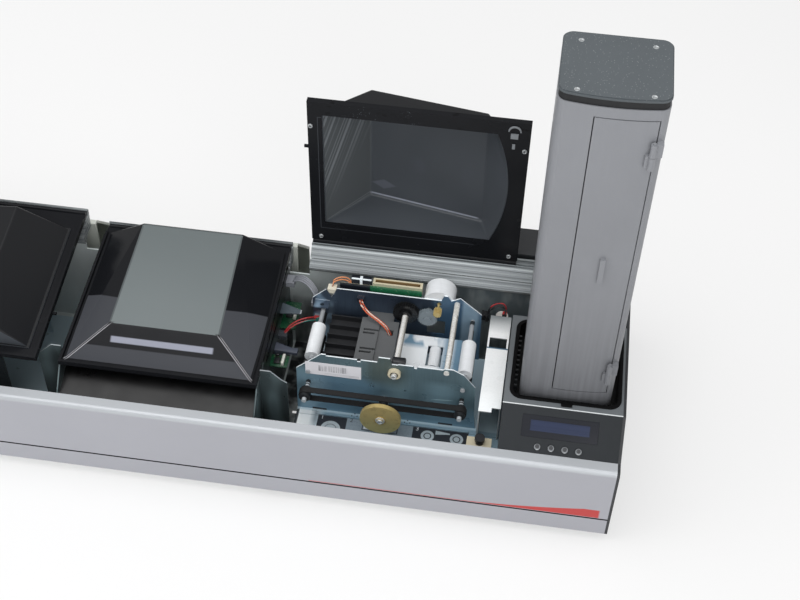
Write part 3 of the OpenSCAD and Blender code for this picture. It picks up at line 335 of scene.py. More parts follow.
def rail_aluminium(colours):
    """Drawn aluminium: fine lines along the rail, ribs as wide bands of painted shade and painted highlight.
    """
    metal = Finish("rail_aluminium", colours.rail, 0.36, 0.5)
    z = metal.bay()[2]
    drop = (200 - z) % 4.6
    # Each rib: a band of painted shade, then a band of painted highlight.
    metal.paint(96, 102, 104, drop.between(0.4, 1.5, 0.25) * 0.8)
    metal.paint(206, 214, 214, drop.between(3.0, 3.9, 0.3) * 0.6)
    draw = metal.grain(900, 2, (0.01, 1.0, 1.0))
    metal.shade(0.86, draw.rise(0.35, 0.75) * 0.35)
    metal.vary("Roughness", draw.rise(0.3, 0.7) * 0.2 + 0.28)
    return metal.bump(draw, 30)


def zinc(name, rgb, bright, blotch=12, metallic=0.2):
    """Blue zinc plating: a cloudy mix of the two tones that stands for painted reflections, and fine rolling
    lines; highlights on sheared edges are painted apart.
    """
    metal = Finish(name, rgb, 0.32, metallic)
    # Painted reflections: clouds of the bright tone.
    cloud = metal.grain(blotch, 1, (1, 1, 1.6), 0.3)
    metal.tint(bright, cloud.rise(0.3, 0.72))
    metal.shade(0.86, metal.grain(500, 2, (1, 1, 0.05)).rise(0.45, 0.8) * 0.4)
    metal.satin(60, 2, 0.2, 0.8, 0.16, 0.24)
    return metal.pores(1400, 10)


def edge_highlights(metal, where):
    """Paints a highlight on upward faces, such as the sheared upper edges of upright sheets."""
    return metal.tint((0.9, 0.96, 1.0), metal.facing()[2].rise(0.4, 0.7) * where)


def lathe_turned(name, rgb, roughness=0.3, metallic=1.0):
    metal = Finish(name, rgb, roughness, metallic)
    rings = metal.grain(5200, 2, (0.05, 1.0, 0.05))
    metal.mottle(0.93, 90, 3, 0.4, 0.8, 0.5)
    metal.vary("Roughness", rings.rise(0.3, 0.7) * 0.1 + (roughness - 0.02))
    return metal.bump(rings, 1)


def brass(colours):
    metal = lathe_turned("brass", colours.brass, 0.36, 0.55)
    return metal.paint(134, 110, 66, metal.grain(180, 4).rise(0.55, 0.8) * 0.5)


def gloss(name, rgb, roughness=0.08, smear=0.12, shine=0.12):
    plastic = Finish(name, rgb, roughness, specular_ior_level=shine)
    plastic.shade(1.5, plastic.cells(2400).rise(0.06, 0.02) * 0.4)
    plastic.satin(26, 4, 0.35, 0.8, smear, roughness)
    return plastic.pores(40, 40)


def lid_place(x, z):
    """Across and up on the encoder's lid, in mm."""
    return (x - LID[0].x) / MM - 4.6, (z - LID[0].z) / MM - 3


def lid_frame_black(colours):
    """Black frames, with a painted highlight along the step round the encoder lid's window; the catch on the
    encoder's lid is bright metal.
    """
    plastic = gloss("lid_frame_black", colours.lid, 0.2)
    x, y, z = plastic.axes()
    across, up = lid_place(x, z)
    # Painted highlight: a thin line along the step round the window.
    sides = abs(abs(across - 98.6) - 87.6).rise(0.5, 0.3) * up.between(23, 184, 0.3) * across.rise(100, 90)
    ends = abs(abs(up - 103.4) - 80.6).rise(0.5, 0.3) * across.between(11, 186, 0.3)
    face = y.between(LID_FACE - 0.0001, LID_FACE + 0.0003, SOFT * MM) * up.rise(0, 1)
    plastic.paint(66, 69, 74, sides.either(ends) * face)
    catch = y.rise(LID_FACE - 0.00005, LID_FACE - 0.0002) * z.rise(LID[0].z + 0.02, LID[0].z + 0.021)
    plastic.paint(140, 144, 148, catch * x.between(LID[1].x - 0.026, LID[1].x - 0.008, SOFT * MM))
    # Pale specks near the top of the face.
    pale_specks = plastic.cells(520).rise(0.16, 0.08) * plastic.grain(70, 2).rise(0.5, 0.56)
    plastic.paint(168, 178, 188, pale_specks * up.rise(186, 187) * across.between(48, 118, 4) * face)
    # Darker blotches near the top of the frame.
    dark_blotches = plastic.grain(60, 3, (1, 1, 2)).rise(0.62, 0.7) * z.rise(LID[1].z - 0.018, LID[1].z - 0.012)
    return plastic.paint(8, 8, 9, dark_blotches * 0.8)


def smoked_hood(colours):
    """Smoked plastic, with painted reflections: a lighter left wall of the hollow with soft upright streaks,
    a bluish patch and a spot, and painted highlights along a ridge and a corner.
    """
    plastic = gloss("smoked_hood", dim(colours.smoked, 1.25), 0.3, 0.1, 0.3)
    x, y, z = plastic.axes()
    nx, ny, nz = plastic.facing()
    across, up = lid_place(x, z)
    plastic.tint(colours.smoked, plastic.grain(9, 2).rise(0.4, 0.7) * 0.6)
    open_lid = across.rise(-1, 0)
    # Painted reflection: the hollow's left wall is lighter, with soft upright streaks.
    left = open_lid * nx.rise(0.3, 0.5)
    plastic.paint(84, 88, 90, left * 0.8)
    streak = plastic.streaks(across * 0.065 - up * 0.021).rise(0.5, 0.6) * left
    plastic.paint(142, 147, 152, streak * (up - across * 2).rise(10, 60) * 0.5)
    # Painted reflection: a bluish patch on faces that look to the front.
    patch = plastic.grain(24, 1, (1, 1, 0.5), 0.2).rise(0.56, 0.66) * ny.rise(-0.4, -0.6)
    plastic.paint(86, 90, 102, patch * across.between(110, 170, 8) * up.between(70, 140, 8) * 0.35)
    # Painted reflection: a soft spot of sheen.
    shine = abs(across - 76) * 0.1 + abs(up - 56) * 0.2
    plastic.paint(98, 102, 112, shine.rise(1.6, 1.2) * open_lid * 0.6)
    # Painted highlights: a line along the ridge and one along the corner.
    ridge_highlight = (up - (41.5 - across * 0.031)).between(-0.9, 0.9, 0.5) * across.between(61, 187, 2)
    plastic.paint(158, 163, 176, ridge_highlight * open_lid * 0.85)
    corner = (up - (27.5 + across * 0.222)).between(-0.5, 0.6, 0.4) * across.between(18, 61, 1)
    plastic.paint(118, 123, 130, corner * open_lid * 0.7)
    back = ny.rise(0.0, 0.05).either(nz.rise(0.2, 0.3) * up.rise(110, 120))
    outside = (open_lid * back).either((1 - open_lid) * nz.rise(0.0, 0.05))
    return plastic.tint(colours.lid, outside)


def print_hood_gloss(colours):
    """Gloss black hood with a tinted window of smoked plastic on top, its tint a painted reflection of the
    studio; a pale strip before it, darker panels, and a painted highlight along the crease between flank and
    front.
    """
    plastic = gloss("print_hood_gloss", colours.lid, 0.14)
    x, y, z = plastic.bay()
    aside = abs(x + PRINT_MIDDLE)
    nx, ny, nz = plastic.facing()
    lift = z - y * 0.091
    # The window: smoked plastic whose colour, darker towards the rear, is a painted reflection of the
    # studio.
    top = nz.rise(0.965, 0.985) * lift.rise(150, 152)
    plastic.tint(colours.window, top)
    plastic.paint(96, 103, 104, top * y.rise(120, 225) * 0.55)
    front = ny.rise(-0.25, -0.4) * nz.rise(0.2, 0.3)
    across = aside.rise(58, 56)
    plastic.paint(140, 143, 156, front * across * y.between(67.5, 73.0, 0.4))
    plastic.paint(62, 64, 69, front * y.between(48.5, 63.0, 0.4))
    flank = abs(nx).rise(0.3, 0.45)
    plastic.paint(72, 74, 79, flank * (y - aside * 0.4).rise(94.2, 93.2))
    # Painted highlight on the rounded crease between flank and front: two pale lines with black between.
    crease = (aside - 105.4 + (y - 46.6) * 1.17) / 1.54
    plastic.paint(14, 14, 16, abs(crease).rise(1.9, 1.6) * y.between(47, 86, 1))
    plastic.paint(206, 206, 212, abs(crease).between(0.7, 1.3, 0.25) * y.between(47, 84, 2) * 0.75)
    return plastic


def display_window(colours):
    glass = Finish("display_window", tone(34, 36, 42), 0.12, specular_ior_level=0.25)
    low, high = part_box("lcd_window")
    x, y, z = glass.axes()
    lit = x.between(low.x + 0.009, high.x - 0.009, SOFT * MM)
    lit = lit * y.between(low.y + 0.0053, high.y - 0.0048, SOFT * MM)
    glass.tint(colours.display, lit)
    rows = (z * 1800).maths("SINE").rise(0.2, 0.8)
    glass.tint(dim(colours.display, 0.8), lit * rows * 0.4)
    return glass.pores(60, 20)


def rubber(name, grey=26, shine=0.3):
    black = Finish(name, tone(grey, grey, grey + 1), 0.65, specular_ior_level=shine)
    black.mottle(1.9, 300, 4, 0.5, 0.9, 0.6)
    black.satin(90, 3, 0.2, 0.8, 0.2, 0.55)
    return black.pores(1400, 60, 3)


def white_roller():
    """White rollers on steel shafts."""
    white = Finish("white_roller", tone(232, 235, 238), 0.42)
    rings = white.grain(900, 2, (0.1, 1.0, 0.1))
    white.shade(0.88, rings.rise(0.45, 0.75) * 0.5)
    white.mottle(0.75, 60, 4, 0.6, 0.85, 0.5)
    y = white.bay()[1]
    shaft = y.rise(95.2, 95.0).either(y.between(140.8, 177.2, 0.1))
    white.paint(150, 154, 158, shaft)
    white.paint(36, 38, 40, y.between(169.0, 174.5, 0.3).either(y.between(86, 91, 0.1)))
    return white.bump(rings, 30)


def wire_insulation(colours):
    """Each loom has its own colours, told apart by where it lies."""
    skin = Finish("wire_insulation", tone(128, 131, 138), 0.4)
    x, y, z = skin.bay()
    pair = x.between(-180, -130) * y.rise(176, 175.8)
    skin.paint(196, 88, 50, pair)
    twist = (y + x * 0.6 + skin.grain(60, 1) * 3) % 5.4
    skin.paint(226, 204, 190, pair * twist.between(0.0, 1.5))
    skin.paint(120, 40, 40, pair * twist.between(2.6, 3.5))
    skin.paint(30, 34, 46, pair * y.rise(170.0, 170.6))
    skin.paint(206, 132, 84, y.rise(177, 177.5) * x.between(-206, -180))
    skin.paint(220, 214, 196, z.between(156, 163.2) * x.between(-212, -200))
    gap_pair = x.rise(-219, -220) * y.rise(173.5, 173.0)
    skin.paint(176, 44, 46, gap_pair)
    skin.paint(38, 128, 118, gap_pair * (y - x * 0.6).rise(303.6, 303.0))
    skin.paint(58, 62, 68, gap_pair * z.rise(111, 110))
    red = x.rise(-45, -43)
    skin.paint(186, 42, 46, red)
    skin.paint(20, 20, 22, red * (y - z * 0.05).rise(190.0, 189.6))
    skin.paint(30, 30, 32, red * x.between(-38, -26.5, 0.3))
    skin.mottle(1.3, 500, 2, 0.5, 0.8, 0.3)
    return skin.pores(700, 50)


def circuit_board(name, green):
    board = Finish(name, green, 0.35, coat_weight=0.3)
    tracks = board.cells(260, feature="DISTANCE_TO_EDGE")
    board.tint(dim(green, 1.9), tracks.rise(0.09, 0.05) * 0.6)
    board.paint(196, 190, 160, board.cells(330).rise(0.13, 0.09) * 0.8)
    return board.bump(tracks, 80)


def board_green(colours):
    """The sensor board with its cream socket."""
    board = circuit_board("board_green", colours.board)
    x, y, z = board.bay()
    board.paint(22, 26, 34, x.rise(-162, -163))
    socket = z.rise(163.8, 164.2) * y.rise(182.2, 182.5)
    board.paint(206, 198, 172, socket)
    slot = y.between(184.6, 189.2) * x.between(-157.5, -106.5, 0.3)
    return board.paint(150, 124, 86, socket * slot)


def deck_plastic(colours):
    """Decks, with a painted highlight along their front edge and painted shade inside the well round the
    tower.
    """
    plastic = moulded("deck_plastic", dim(colours.cover, 1.55), 1700, 0.5)
    x, y, z = plastic.bay()
    # Painted shade: the deck is nearly black inside the well.
    plastic.paint(10, 11, 12, z.rise(154.4, 153.0) * y.rise(60, 62))
    # Painted highlight: a bright line along the front edge.
    return plastic.paint(232, 236, 238, y.between(52.6, 53.9) * z.rise(154.3, 154.6))


def button_plastic():
    """Silver push buttons with a dark dish in the middle."""
    plastic = moulded("button_plastic", tone(118, 122, 126), 2500, 0.3)
    x, y, z = plastic.bay()
    low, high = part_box("button_1")
    pitch = (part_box("button_2")[0].x - low.x) / MM
    first = ((low.x + high.x) / 2 - FEEDER_X) / MM
    row = ((low.y + high.y) / 2 - FRONT_Y) / MM - 1.9
    away = ((x - (first - pitch / 2)) % pitch).away((y - row) * 1.3, pitch / 2, 0.0)
    plastic.paint(206, 210, 212, y.rise(row - 2.2, row - 3.4))
    return plastic.paint(42, 44, 48, away.rise(2.5, 2.1))


def motor_steel():
    """Turned steel, with painted shade and a painted highlight along the shaft; the main gear on its shaft
    is black plastic.
    """
    metal = lathe_turned("motor_steel", tone(236, 234, 228), 0.26, 0.35)
    x, y, z = metal.bay()
    shaft = y.between(76, 156.6, 1)
    # Painted light on the shaft: shade on its right side, a darker left edge and a highlight between.
    nx = metal.facing()[0]
    metal.paint(120, 116, 110, shaft * nx.rise(0.35, 0.8) * 0.8)
    metal.paint(150, 148, 142, shaft * nx.rise(-0.75, -0.95) * 0.6)
    metal.tint((1.0, 1.0, 0.99), shaft * nx.between(-0.6, 0.05, 0.15) * 0.8)
    return metal.paint(26, 27, 29, y.rise(156.6, 156.9) * x.between(-135, -103, 1))


def bracket_zinc():
    """Separator cover: almost white on top, with a grey sweep of painted shade at its rear end and painted
    shade on its sides.
    """
    metal = zinc("bracket_zinc", tone(250, 254, 255), tone(255, 255, 255), 12, 0.0)
    x, y, z = metal.bay()
    # Painted shade sweeping over the rear end.
    metal.paint(60, 76, 82, y.rise(166, 190) * 0.75)
    metal.paint(70, 104, 128, y.between(143.2, 145.2) * z.rise(134, 134.6))
    # Painted shade on the faces that do not look up.
    return metal.paint(84, 98, 104, metal.facing()[2].rise(0.4, 0.2) * 0.8)


def front_plate_zinc():
    """The dark front plate, with painted reflections: soft upright bands, a bluish zone on the left and a
    paler lower part; an olive patch, painted shade in the card slots, and painted highlights on a dent and
    the sheared edges.
    """
    metal = zinc("front_plate_zinc", tone(70, 90, 98), tone(98, 120, 128), 14)
    x, y, z = metal.bay()
    bands = metal.grain(22, 1, (1, 1, 0.1), 0.2).rise(0.5, 0.66)
    # Painted reflections: a bluish zone on the left and soft upright bands.
    metal.paint(92, 126, 150, z.rise(146, 132) * x.rise(-112, -150) * 0.6)
    metal.paint(136, 168, 182, bands * z.rise(150, 140) * 0.45)
    metal.paint(66, 72, 62, x.between(-150, -108, 8) * z.rise(124, 140) * 0.6)
    # Painted reflection: a paler lower part.
    metal.paint(120, 156, 178, z.rise(112, 84) * 0.7)
    # Painted highlight: a thin bright line along a dent.
    dent_highlight = (abs(z - 118 - (x + 66) * 0.1)).rise(0.9, 0.3) * x.between(-76, -56, 3)
    metal.paint(168, 198, 206, dent_highlight * 0.8)
    # Painted shade: the card slots at the plate's foot are drawn dark.
    slot = z.rise(78.4, 78.0) * (abs(x + 132) - 71).between(-8, 8)
    metal.paint(24, 30, 36, slot)
    return edge_highlights(metal, z.rise(138, 140))


def floor_zinc():
    """Bright floor and card table, with bluish painted reflections on the table; the floor is pale at its
    left end, a pool of painted light.
    """
    metal = zinc("floor_zinc", tone(128, 158, 176), tone(170, 198, 212), 12)
    x, y, z = metal.bay()
    # Painted light: the floor's left end is pale.
    metal.paint(250, 254, 255, x.rise(-196, -212))
    metal.paint(40, 46, 50, x.rise(-224.5, -225.5))
    metal.paint(72, 92, 104, x.between(-209, -203, 3) * y.rise(48, 60) * 0.6)
    metal.paint(206, 228, 238, y.rise(71, 73) * 0.7)
    table = z.rise(120, 122)
    metal.paint(248, 252, 255, table)
    # Painted reflections: bluish clouds on the table's rear and its right end.
    cloud = metal.grain(60, 2, (1, 0.6, 1), 0.4).rise(0.46, 0.56) * y.rise(134, 142)
    metal.paint(122, 156, 180, table * cloud.either(x.rise(-78, -68)))
    metal.paint(226, 238, 246, table * x.between(-66, -60, 2) * 0.7)
    for centre in (-162.8, -103.1):
        near = x.away(y, centre, 71.5)
        holes = abs(abs(x - centre) - abs(y - 71.5)).rise(1.9, 2.3) * near.rise(3.7, 3.3)
        metal.paint(20, 24, 28, holes * near.rise(1.2, 1.6))
    return metal.paint(60, 84, 100, y.between(65.6, 66.6) * z.rise(76, 74) * 0.8)


def rear_plate_zinc():
    """Rear plate: dark in the middle, with painted reflections, blue and white towards the right and bluish
    at its left end, and a painted highlight on its top edge.
    """
    metal = zinc("rear_plate_zinc", tone(46, 54, 68), tone(66, 80, 96), 16)
    x, y, z = metal.bay()
    metal.paint(72, 104, 132, x.rise(-94, -84) * 0.8)
    streak = metal.grain(64, 1, (1, 1, 0.05), 0.2).rise(0.5, 0.62)
    metal.paint(170, 196, 214, streak * x.rise(-90, -80) * 0.6)
    cloud = metal.grain(60, 1, (1, 1, 0.8), 0.2).rise(0.46, 0.6)
    metal.paint(126, 148, 168, cloud * x.rise(-200, -210) * 0.85)
    return edge_highlights(metal, z.rise(125, 127) * y.rise(175.6, 175.9))


def cream_plastic(colours):
    """Cream parts; the bush's inner collar is black."""
    plastic = moulded("cream_plastic", dim(colours.cream, 0.8), 2500, 0.4)
    x, y, z = plastic.bay()
    raised = z.rise(140, 142)
    plastic.paint(64, 62, 54, x.away(z, -119.0, 155.0).rise(4.6, 4.2) * raised)
    return plastic.paint(24, 25, 27, y.rise(75.6, 75.9) * raised)


def shaft_steel():
    """Belt shafts: black pulleys, with bright steel rings and ends."""
    metal = lathe_turned("shaft_steel", tone(40, 42, 45), 0.4, 0.4)
    y = metal.bay()[1]
    bright = y.rise(50.0, 49.6).either(y.between(63.4, 65.0, 0.1)).either(y.between(66.4, 68.4, 0.1))
    return metal.paint(196, 202, 206, bright.either(y.between(70.0, 71.0, 0.1)))


def dark_chassis():
    """Darker chassis of the print bay, with painted reflections on its front and painted highlights on its
    front edges; the apron under its lid is nearly black.
    """
    metal = zinc("dark_chassis", tone(52, 60, 62), tone(72, 82, 84), 14, 0.3)
    x, y, z = metal.bay()
    aside = abs(x + PRINT_MIDDLE)
    front = aside.between(109, 142, 0.5) * y.rise(60, 59)
    cloud = metal.grain(36, 1, (1, 1, 0.3)).rise(0.45, 0.65)
    metal.paint(112, 130, 134, front * cloud * 0.8)
    metal.paint(14, 15, 17, y.rise(76, 80) * z.rise(120, 124))
    edge_highlights(metal, y.rise(80, 76) * aside.rise(110, 111) * 0.35)
    return metal.paint(8, 8, 9, aside.rise(109.5, 108.5) * y.rise(62, 60))


def slot_finishes(colours, sizes):
    """The material of every slot in the record, by the slot's name."""
    made = [make() for make in (
        tray_steel, dark_chassis, button_plastic, cap_plastic, bracket_zinc, motor_steel, front_plate_zinc,
        floor_zinc, rear_plate_zinc, white_roller, shaft_steel)]
    made += [make(colours) for make in (
        rail_aluminium, deck_plastic, display_window, tower_plastic, cream_plastic, brass, board_green,
        wire_insulation, lid_frame_black, smoked_hood, print_hood_gloss)]
    made += [
        lilac_silver(colours, sizes),
        moulded("end_cover_plastic", tone(44, 46, 49)),
        moulded("rear_cover_plastic", colours.beige, 1500, 0.5),
        moulded("black_fittings", tone(34, 35, 38), 1500, 0.4),
        moulded("panel_plastic", tone(44, 47, 50), 1700, 0.5, shine=0.15),
        moulded("gear_plastic", tone(122, 132, 138), 2500, 0.4),
        moulded("head_metal", tone(92, 94, 96), 1400, 0.5),
        moulded("drum_plastic", tone(140, 142, 145)),
        rubber("foot_rubber", 30),
        rubber("feed_rubber", 24),
        lathe_turned("print_head_metal", tone(180, 182, 182), 0.35),
        gloss("ribbon_film", tone(30, 30, 48), 0.2),
    ]
    return {finish.name: finish for finish in made}


# ---- finishes of the added pieces ----

def plain_steel(name="screw_steel", rgb=tone(196, 200, 202)):
    metal = Finish(name, rgb, 0.3, 0.6)
    metal.mottle(0.8, 1200, 2, 0.4, 0.7, 0.5)
    metal.satin(300, 2, 0.3, 0.7, 0.2, 0.25)
    return metal.pores(2500, 10)


def instruction_print():
    """Sticker with three fields, each with a plain drawing of cards and rollers."""
    paper = Finish("instruction_print", tone(40, 43, 50), 0.42)
    x, y, z = paper.bay()
    pale, dark = tone(178, 190, 196), tone(40, 43, 50)
    paper.paint(138, 152, 162, x.between(-169.8, -95.5, 0.1))
    roller = x.away(y, -186.5, 49.5)
    paper.tint(pale, roller.rise(11.2, 10.8))
    paper.paint(120, 128, 134, roller.between(6.0, 7.0))
    card = x.between(-152, -112) * y.between(53.2, 63.2)
    paper.tint(dark, card * (1 - x.between(-151, -113) * y.between(54.2, 62.2)))
    paper.paint(228, 234, 238, x.between(-150, -140) * y.between(55.4, 61))
    for centre in (-78.5, -46.0):
        disc = x.away(y, centre, 56.5)
        paper.tint(pale, disc.rise(7.6, 7.2))
        paper.tint(dark, disc.between(3.2, 4.4))
    paper.tint(pale, x.between(-70, -54) * (abs(y - 62.5) - (x + 54) * -0.12).rise(1.0, 0.7))
    paper.mottle(1.4, 400, 2, 0.5, 0.8, 0.25)
    paper.satin(80, 2, 0.3, 0.7, 0.1, 0.36)
    return paper.pores(900, 10)


def relay_plastic():
    """Black part on the sensor board, with white rims and a white bar."""
    plastic = moulded("relay_plastic", tone(26, 30, 38), 2500, 0.4)
    x, y, z = plastic.bay()
    rim = z.rise(178.6, 179.0) * y.rise(184.2, 184.0)
    return plastic.paint(232, 240, 244, rim.either(x.between(-174.6, -171.6)))


def comb_plastic():
    """Dark comb with a pale fleck on the top of each tooth."""
    plastic = moulded("comb_plastic", tone(30, 32, 34), 2500, 0.4)
    z = plastic.bay()[2]
    return plastic.paint(206, 210, 210, z.rise(154.2, 154.5) * plastic.cells(330).rise(0.24, 0.16))


def tally_print():
    """White sticker with a field of plain upright bars and two grey rules."""
    paper = Finish("tally_print", tone(222, 221, 226), 0.45)
    x, y, z = paper.bay()
    bars = paper.streaks(x * 0.9, 1.0)
    field = x.between(-203, -170) * z.between(142.5, 152)
    paper.paint(58, 58, 64, bars.rise(0.49, 0.52) * field)
    for rule in (139.6, 137.8):
        line = z.between(rule - 0.3, rule + 0.3, 0.1)
        paper.paint(120, 120, 128, line * x.between(-196, -158) * 0.7)
    paper.mottle(0.95, 50, 2, 0.4, 0.7)
    paper.satin(80, 2, 0.3, 0.7, 0.1, 0.4)
    return paper.pores(900, 10)


# ---- modelling ----

SOFT_EDGE = 0.4 * MM
SMOOTH = math.radians(35)
PAPER_EDGE = 0.8 * MM


def pick(piece=None):
    """Leaves only this piece selected, so that an operator touches nothing else."""
    bpy.ops.object.select_all(action="DESELECT")
    if piece:
        piece.select_set(True)
        bpy.context.view_layer.objects.active = piece


class Blank:
    """A primitive that is shaped in edit mode into a finished piece."""

    def __init__(self, name, primitive, scale=(1, 1, 1), **settings):
        pick()
        getattr(bpy.ops.mesh, f"primitive_{primitive}_add")(**settings)
        self.piece = bpy.context.object
        self.piece.scale = scale
        self.piece.name = self.piece.data.name = name
        bpy.ops.object.transform_apply()
        bpy.ops.object.mode_set(mode="EDIT")

    def faces(self, test=lambda middle, normal: True):
        """Selects the faces for which test(middle, normal) holds."""
        return self.select("faces", lambda face: test(face.calc_center_median(), face.normal))

    def edges(self, test=lambda middle, way: True):
        """Selects the edges for which test(middle, direction) holds."""
        def look(edge):
            start, end = (corner.co for corner in edge.verts)
            return test((start + end) / 2, (end - start).normalized())
        return self.select("edges", look)

    def select(self, kind, look):
        bpy.ops.mesh.select_mode(type=kind[:-1].upper())
        bpy.ops.mesh.select_all(action="DESELECT")
        mesh = bmesh.from_edit_mesh(self.piece.data)
        mesh.normal_update()
        found = [part for part in getattr(mesh, kind) if look(part)]
        if not found:
            raise RuntimeError(f"{self.piece.name}: nothing was selected to shape")
        for part in found:
            part.select_set(True)
        bmesh.update_edit_mesh(self.piece.data)
        return self

    def inset(self, width, each=False):
        bpy.ops.mesh.inset(thickness=width, depth=0, use_individual=each)
        return self

    def extrude(self, x=0.0, y=0.0, z=0.0):
        bpy.ops.mesh.extrude_region_move(TRANSFORM_OT_translate={"value": (x, y, z)})
        return self

    def bevel(self, width=SOFT_EDGE, steps=2):
        bpy.ops.mesh.bevel(offset=width, segments=steps, affect="EDGES")
        return self

    def corners(self, radius):
        """Rounds the corners of a flat sheet that lies level."""
        bpy.ops.mesh.select_mode(type="VERT")
        bpy.ops.mesh.select_all(action="SELECT")
        bpy.ops.mesh.bevel(offset=radius, segments=8, affect="VERTICES")
        return self

    def drop(self, test):
        """Takes the faces away for which test(middle, normal) holds."""
        self.faces(test)
        bpy.ops.mesh.delete(type="FACE")
        return self

    def resize(self, x, y, z, centre):
        bpy.ops.transform.resize(value=(x, y, z), center_override=centre)
        return self

    def done(self, finish, body="base"):
        """Leaves edit mode, gives the piece its finish and lets it ride on a body."""
        bpy.ops.object.mode_set(mode="OBJECT")
        bpy.ops.object.shade_smooth_by_angle(angle=SMOOTH)
        self.piece.data.materials.append(finish.material)
        if body:
            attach(self.piece, body)
        return self.piece


def towards(x, y=0):
    """A test for faces that look this way."""
    return lambda middle, normal: normal.x * x + normal.y * y > 0.9


def block(name, low, high, finish, body="base", rounding=SOFT_EDGE):
    """A box between two corners in bay millimetres, with rounded edges; more shaping may follow."""
    low, high = bay(*low), bay(*high)
    blank = Blank(name, "cube", size=1, location=(low + high) / 2, scale=high - low)
    return blank.edges().bevel(rounding).done(finish, body)


def sheet(name, finish, thickness, **place):
    """A sticker with a fine border, raised from a plane by its thickness along one axis."""
    blank = Blank(name, "plane", size=1, **place)
    blank.faces().inset(PAPER_EDGE).faces().extrude(**thickness).done(finish)


def ring(name, centre, outer, depth, finish, inner=0.0042, body="base"):
    """A tube along y that starts at centre."""
    middle = centre + Vector(((inner + outer) / 2, depth / 2, 0))
    wall = Blank(name, "plane", size=1, location=middle, scale=(outer - inner, depth, 1))
    bpy.ops.mesh.select_all(action="SELECT")
    bpy.ops.mesh.spin(steps=40, angle=math.tau, center=centre, axis=(0, 1, 0), use_auto_merge=True)
    bpy.ops.mesh.select_all(action="SELECT")
    bpy.ops.mesh.remove_doubles(threshold=0.01 * MM)
    return wall.done(finish, body)


def set_copies(master, spots):
    """Copies a finished piece to (name, place, direction, body), then takes the master away."""
    for name, place, way, body in spots:
        pick(master)
        bpy.ops.object.duplicate(linked=False)
        copy = bpy.context.object
        copy.name = copy.data.name = name
        copy.location = place
        copy.rotation_euler = Vector(way).to_track_quat("Z", "Y").to_euler()
        bpy.ops.object.transform_apply()
        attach(copy, body)
    pick(master)
    bpy.ops.object.delete()


def pan_screw(radius, finish, tall=0.62):
    """A cross-head screw that stands on the origin and looks up."""
    height = radius * tall
    head = Blank("screw", "cylinder", vertices=24, radius=radius, depth=height, location=(0, 0, height / 2))
    head = head.edges(lambda middle, way: middle.z > height * 0.9).bevel(height * 0.45, 3).done(finish, None)
    slot = radius * 0.28
    arm = Blank("recess", "cube", size=1, location=(0, 0, height), scale=(slot, slot, height * 0.8))
    for x, y in ((1, 0), (-1, 0), (0, 1), (0, -1)):
        arm.faces(lambda spot, normal: normal.x * x + normal.y * y > 0.9 and spot.xy.length < radius * 0.2)
        arm.extrude(x * radius * 0.5, y * radius * 0.5)
    cutter = arm.done(finish, None)
    pick(head)
    cut = head.modifiers.new("recess", "BOOLEAN")
    cut.operation = "DIFFERENCE"
    cut.solver = "EXACT"
    cut.object = cutter
    bpy.ops.object.modifier_apply(modifier="recess")
    bpy.data.objects.remove(cutter)
    return head


# ---- stage ----

CAMERA_SPOT = (0.37795, -1.01281, 1.27394)
CAMERA_YAW = math.radians(7.27)
CAMERA_PITCH = math.radians(47.01)
CAMERA_ROLL = math.radians(1.39)
LENS = 60.94
SOFTBOXES = (
    ("overhead_softbox", (-0.2, -0.45, 2.6), (0.0, 0.0, 0.1), 2.4, 42),
    ("front_softbox", (1.3, -2.4, 1.6), (0.2, 0.0, 0.15), 1.8, 26),
    ("left_softbox", (-2.4, -0.9, 1.5), (0.0, 0.0, 0.2), 1.6, 16),
)


class PRINTER_OT_stage(bpy.types.Operator):
    """Make the camera, the pale floor and the soft lamps"""
    bl_idname = "printer.stage"
    bl_label = "Stage"

    def execute(self, context):
        pick()
        self.camera(context)
        self.floor()
        self.lamps()
        self.sky(context)
        return {"FINISHED"}

    def camera(self, context):
        bpy.ops.object.camera_add()
        camera = context.object
        camera.name = "camera"
        camera.data.sensor_width = 36
        camera.data.lens = LENS
        camera.data.clip_start = 0.05
        turn = Matrix.Rotation(CAMERA_YAW, 4, "Z") @ Matrix.Rotation(math.pi / 2 - CAMERA_PITCH, 4, "X")
        turn = turn @ Matrix.Rotation(CAMERA_ROLL, 4, "Z")
        camera.matrix_world = Matrix.Translation(CAMERA_SPOT) @ turn
        context.scene.camera = camera

    def floor(self):
        """Pale paper that looks almost white to the camera and keeps the object's shadow."""
        bpy.ops.mesh.primitive_plane_add(size=14, location=(0, 0, -0.0004))
        floor = bpy.context.object
        floor.name = "floor"
        paper = Finish("floor_paper", tone(236, 236, 236), 0.8)
        paper.shade(0.985, paper.grain(4, 2))
        seen = paper.node("LightPath", {})
        glow = paper.node("Emission", {}, Strength=1.0)
        lit = Wire(paper, paper.shader.outputs[0])
        blend = paper.node("MixShader", {}, seen * 0.55, lit, glow)
        paper.link(blend, paper.tree.nodes["Material Output"].inputs["Surface"])
        floor.data.materials.append(paper.material)

    def lamps(self):
        for name, spot, aim, size, watts in SOFTBOXES:
            bpy.ops.object.light_add(type="AREA", location=spot)
            lamp = bpy.context.object
            lamp.name = name
            lamp.data.shape = "SQUARE"
            lamp.data.size = size
            lamp.data.energy = watts
            lamp.rotation_euler = (Vector(aim) - Vector(spot)).to_track_quat("-Z", "Y").to_euler()

    def sky(self, context):
        """A white world that lights the object at half strength."""
        world = bpy.data.worlds.new("studio")
        context.scene.world = world
        world.use_nodes = True
        sky = Graph(world.node_tree)
        background = sky.tree.nodes["Background"]
        background.inputs["Color"].default_value = (1, 1, 1, 1)
        sky.link(sky.node("LightPath", {}) * 0.5 + 0.5, background.inputs["Strength"])
        context.scene.view_settings.view_transform = "Standard"


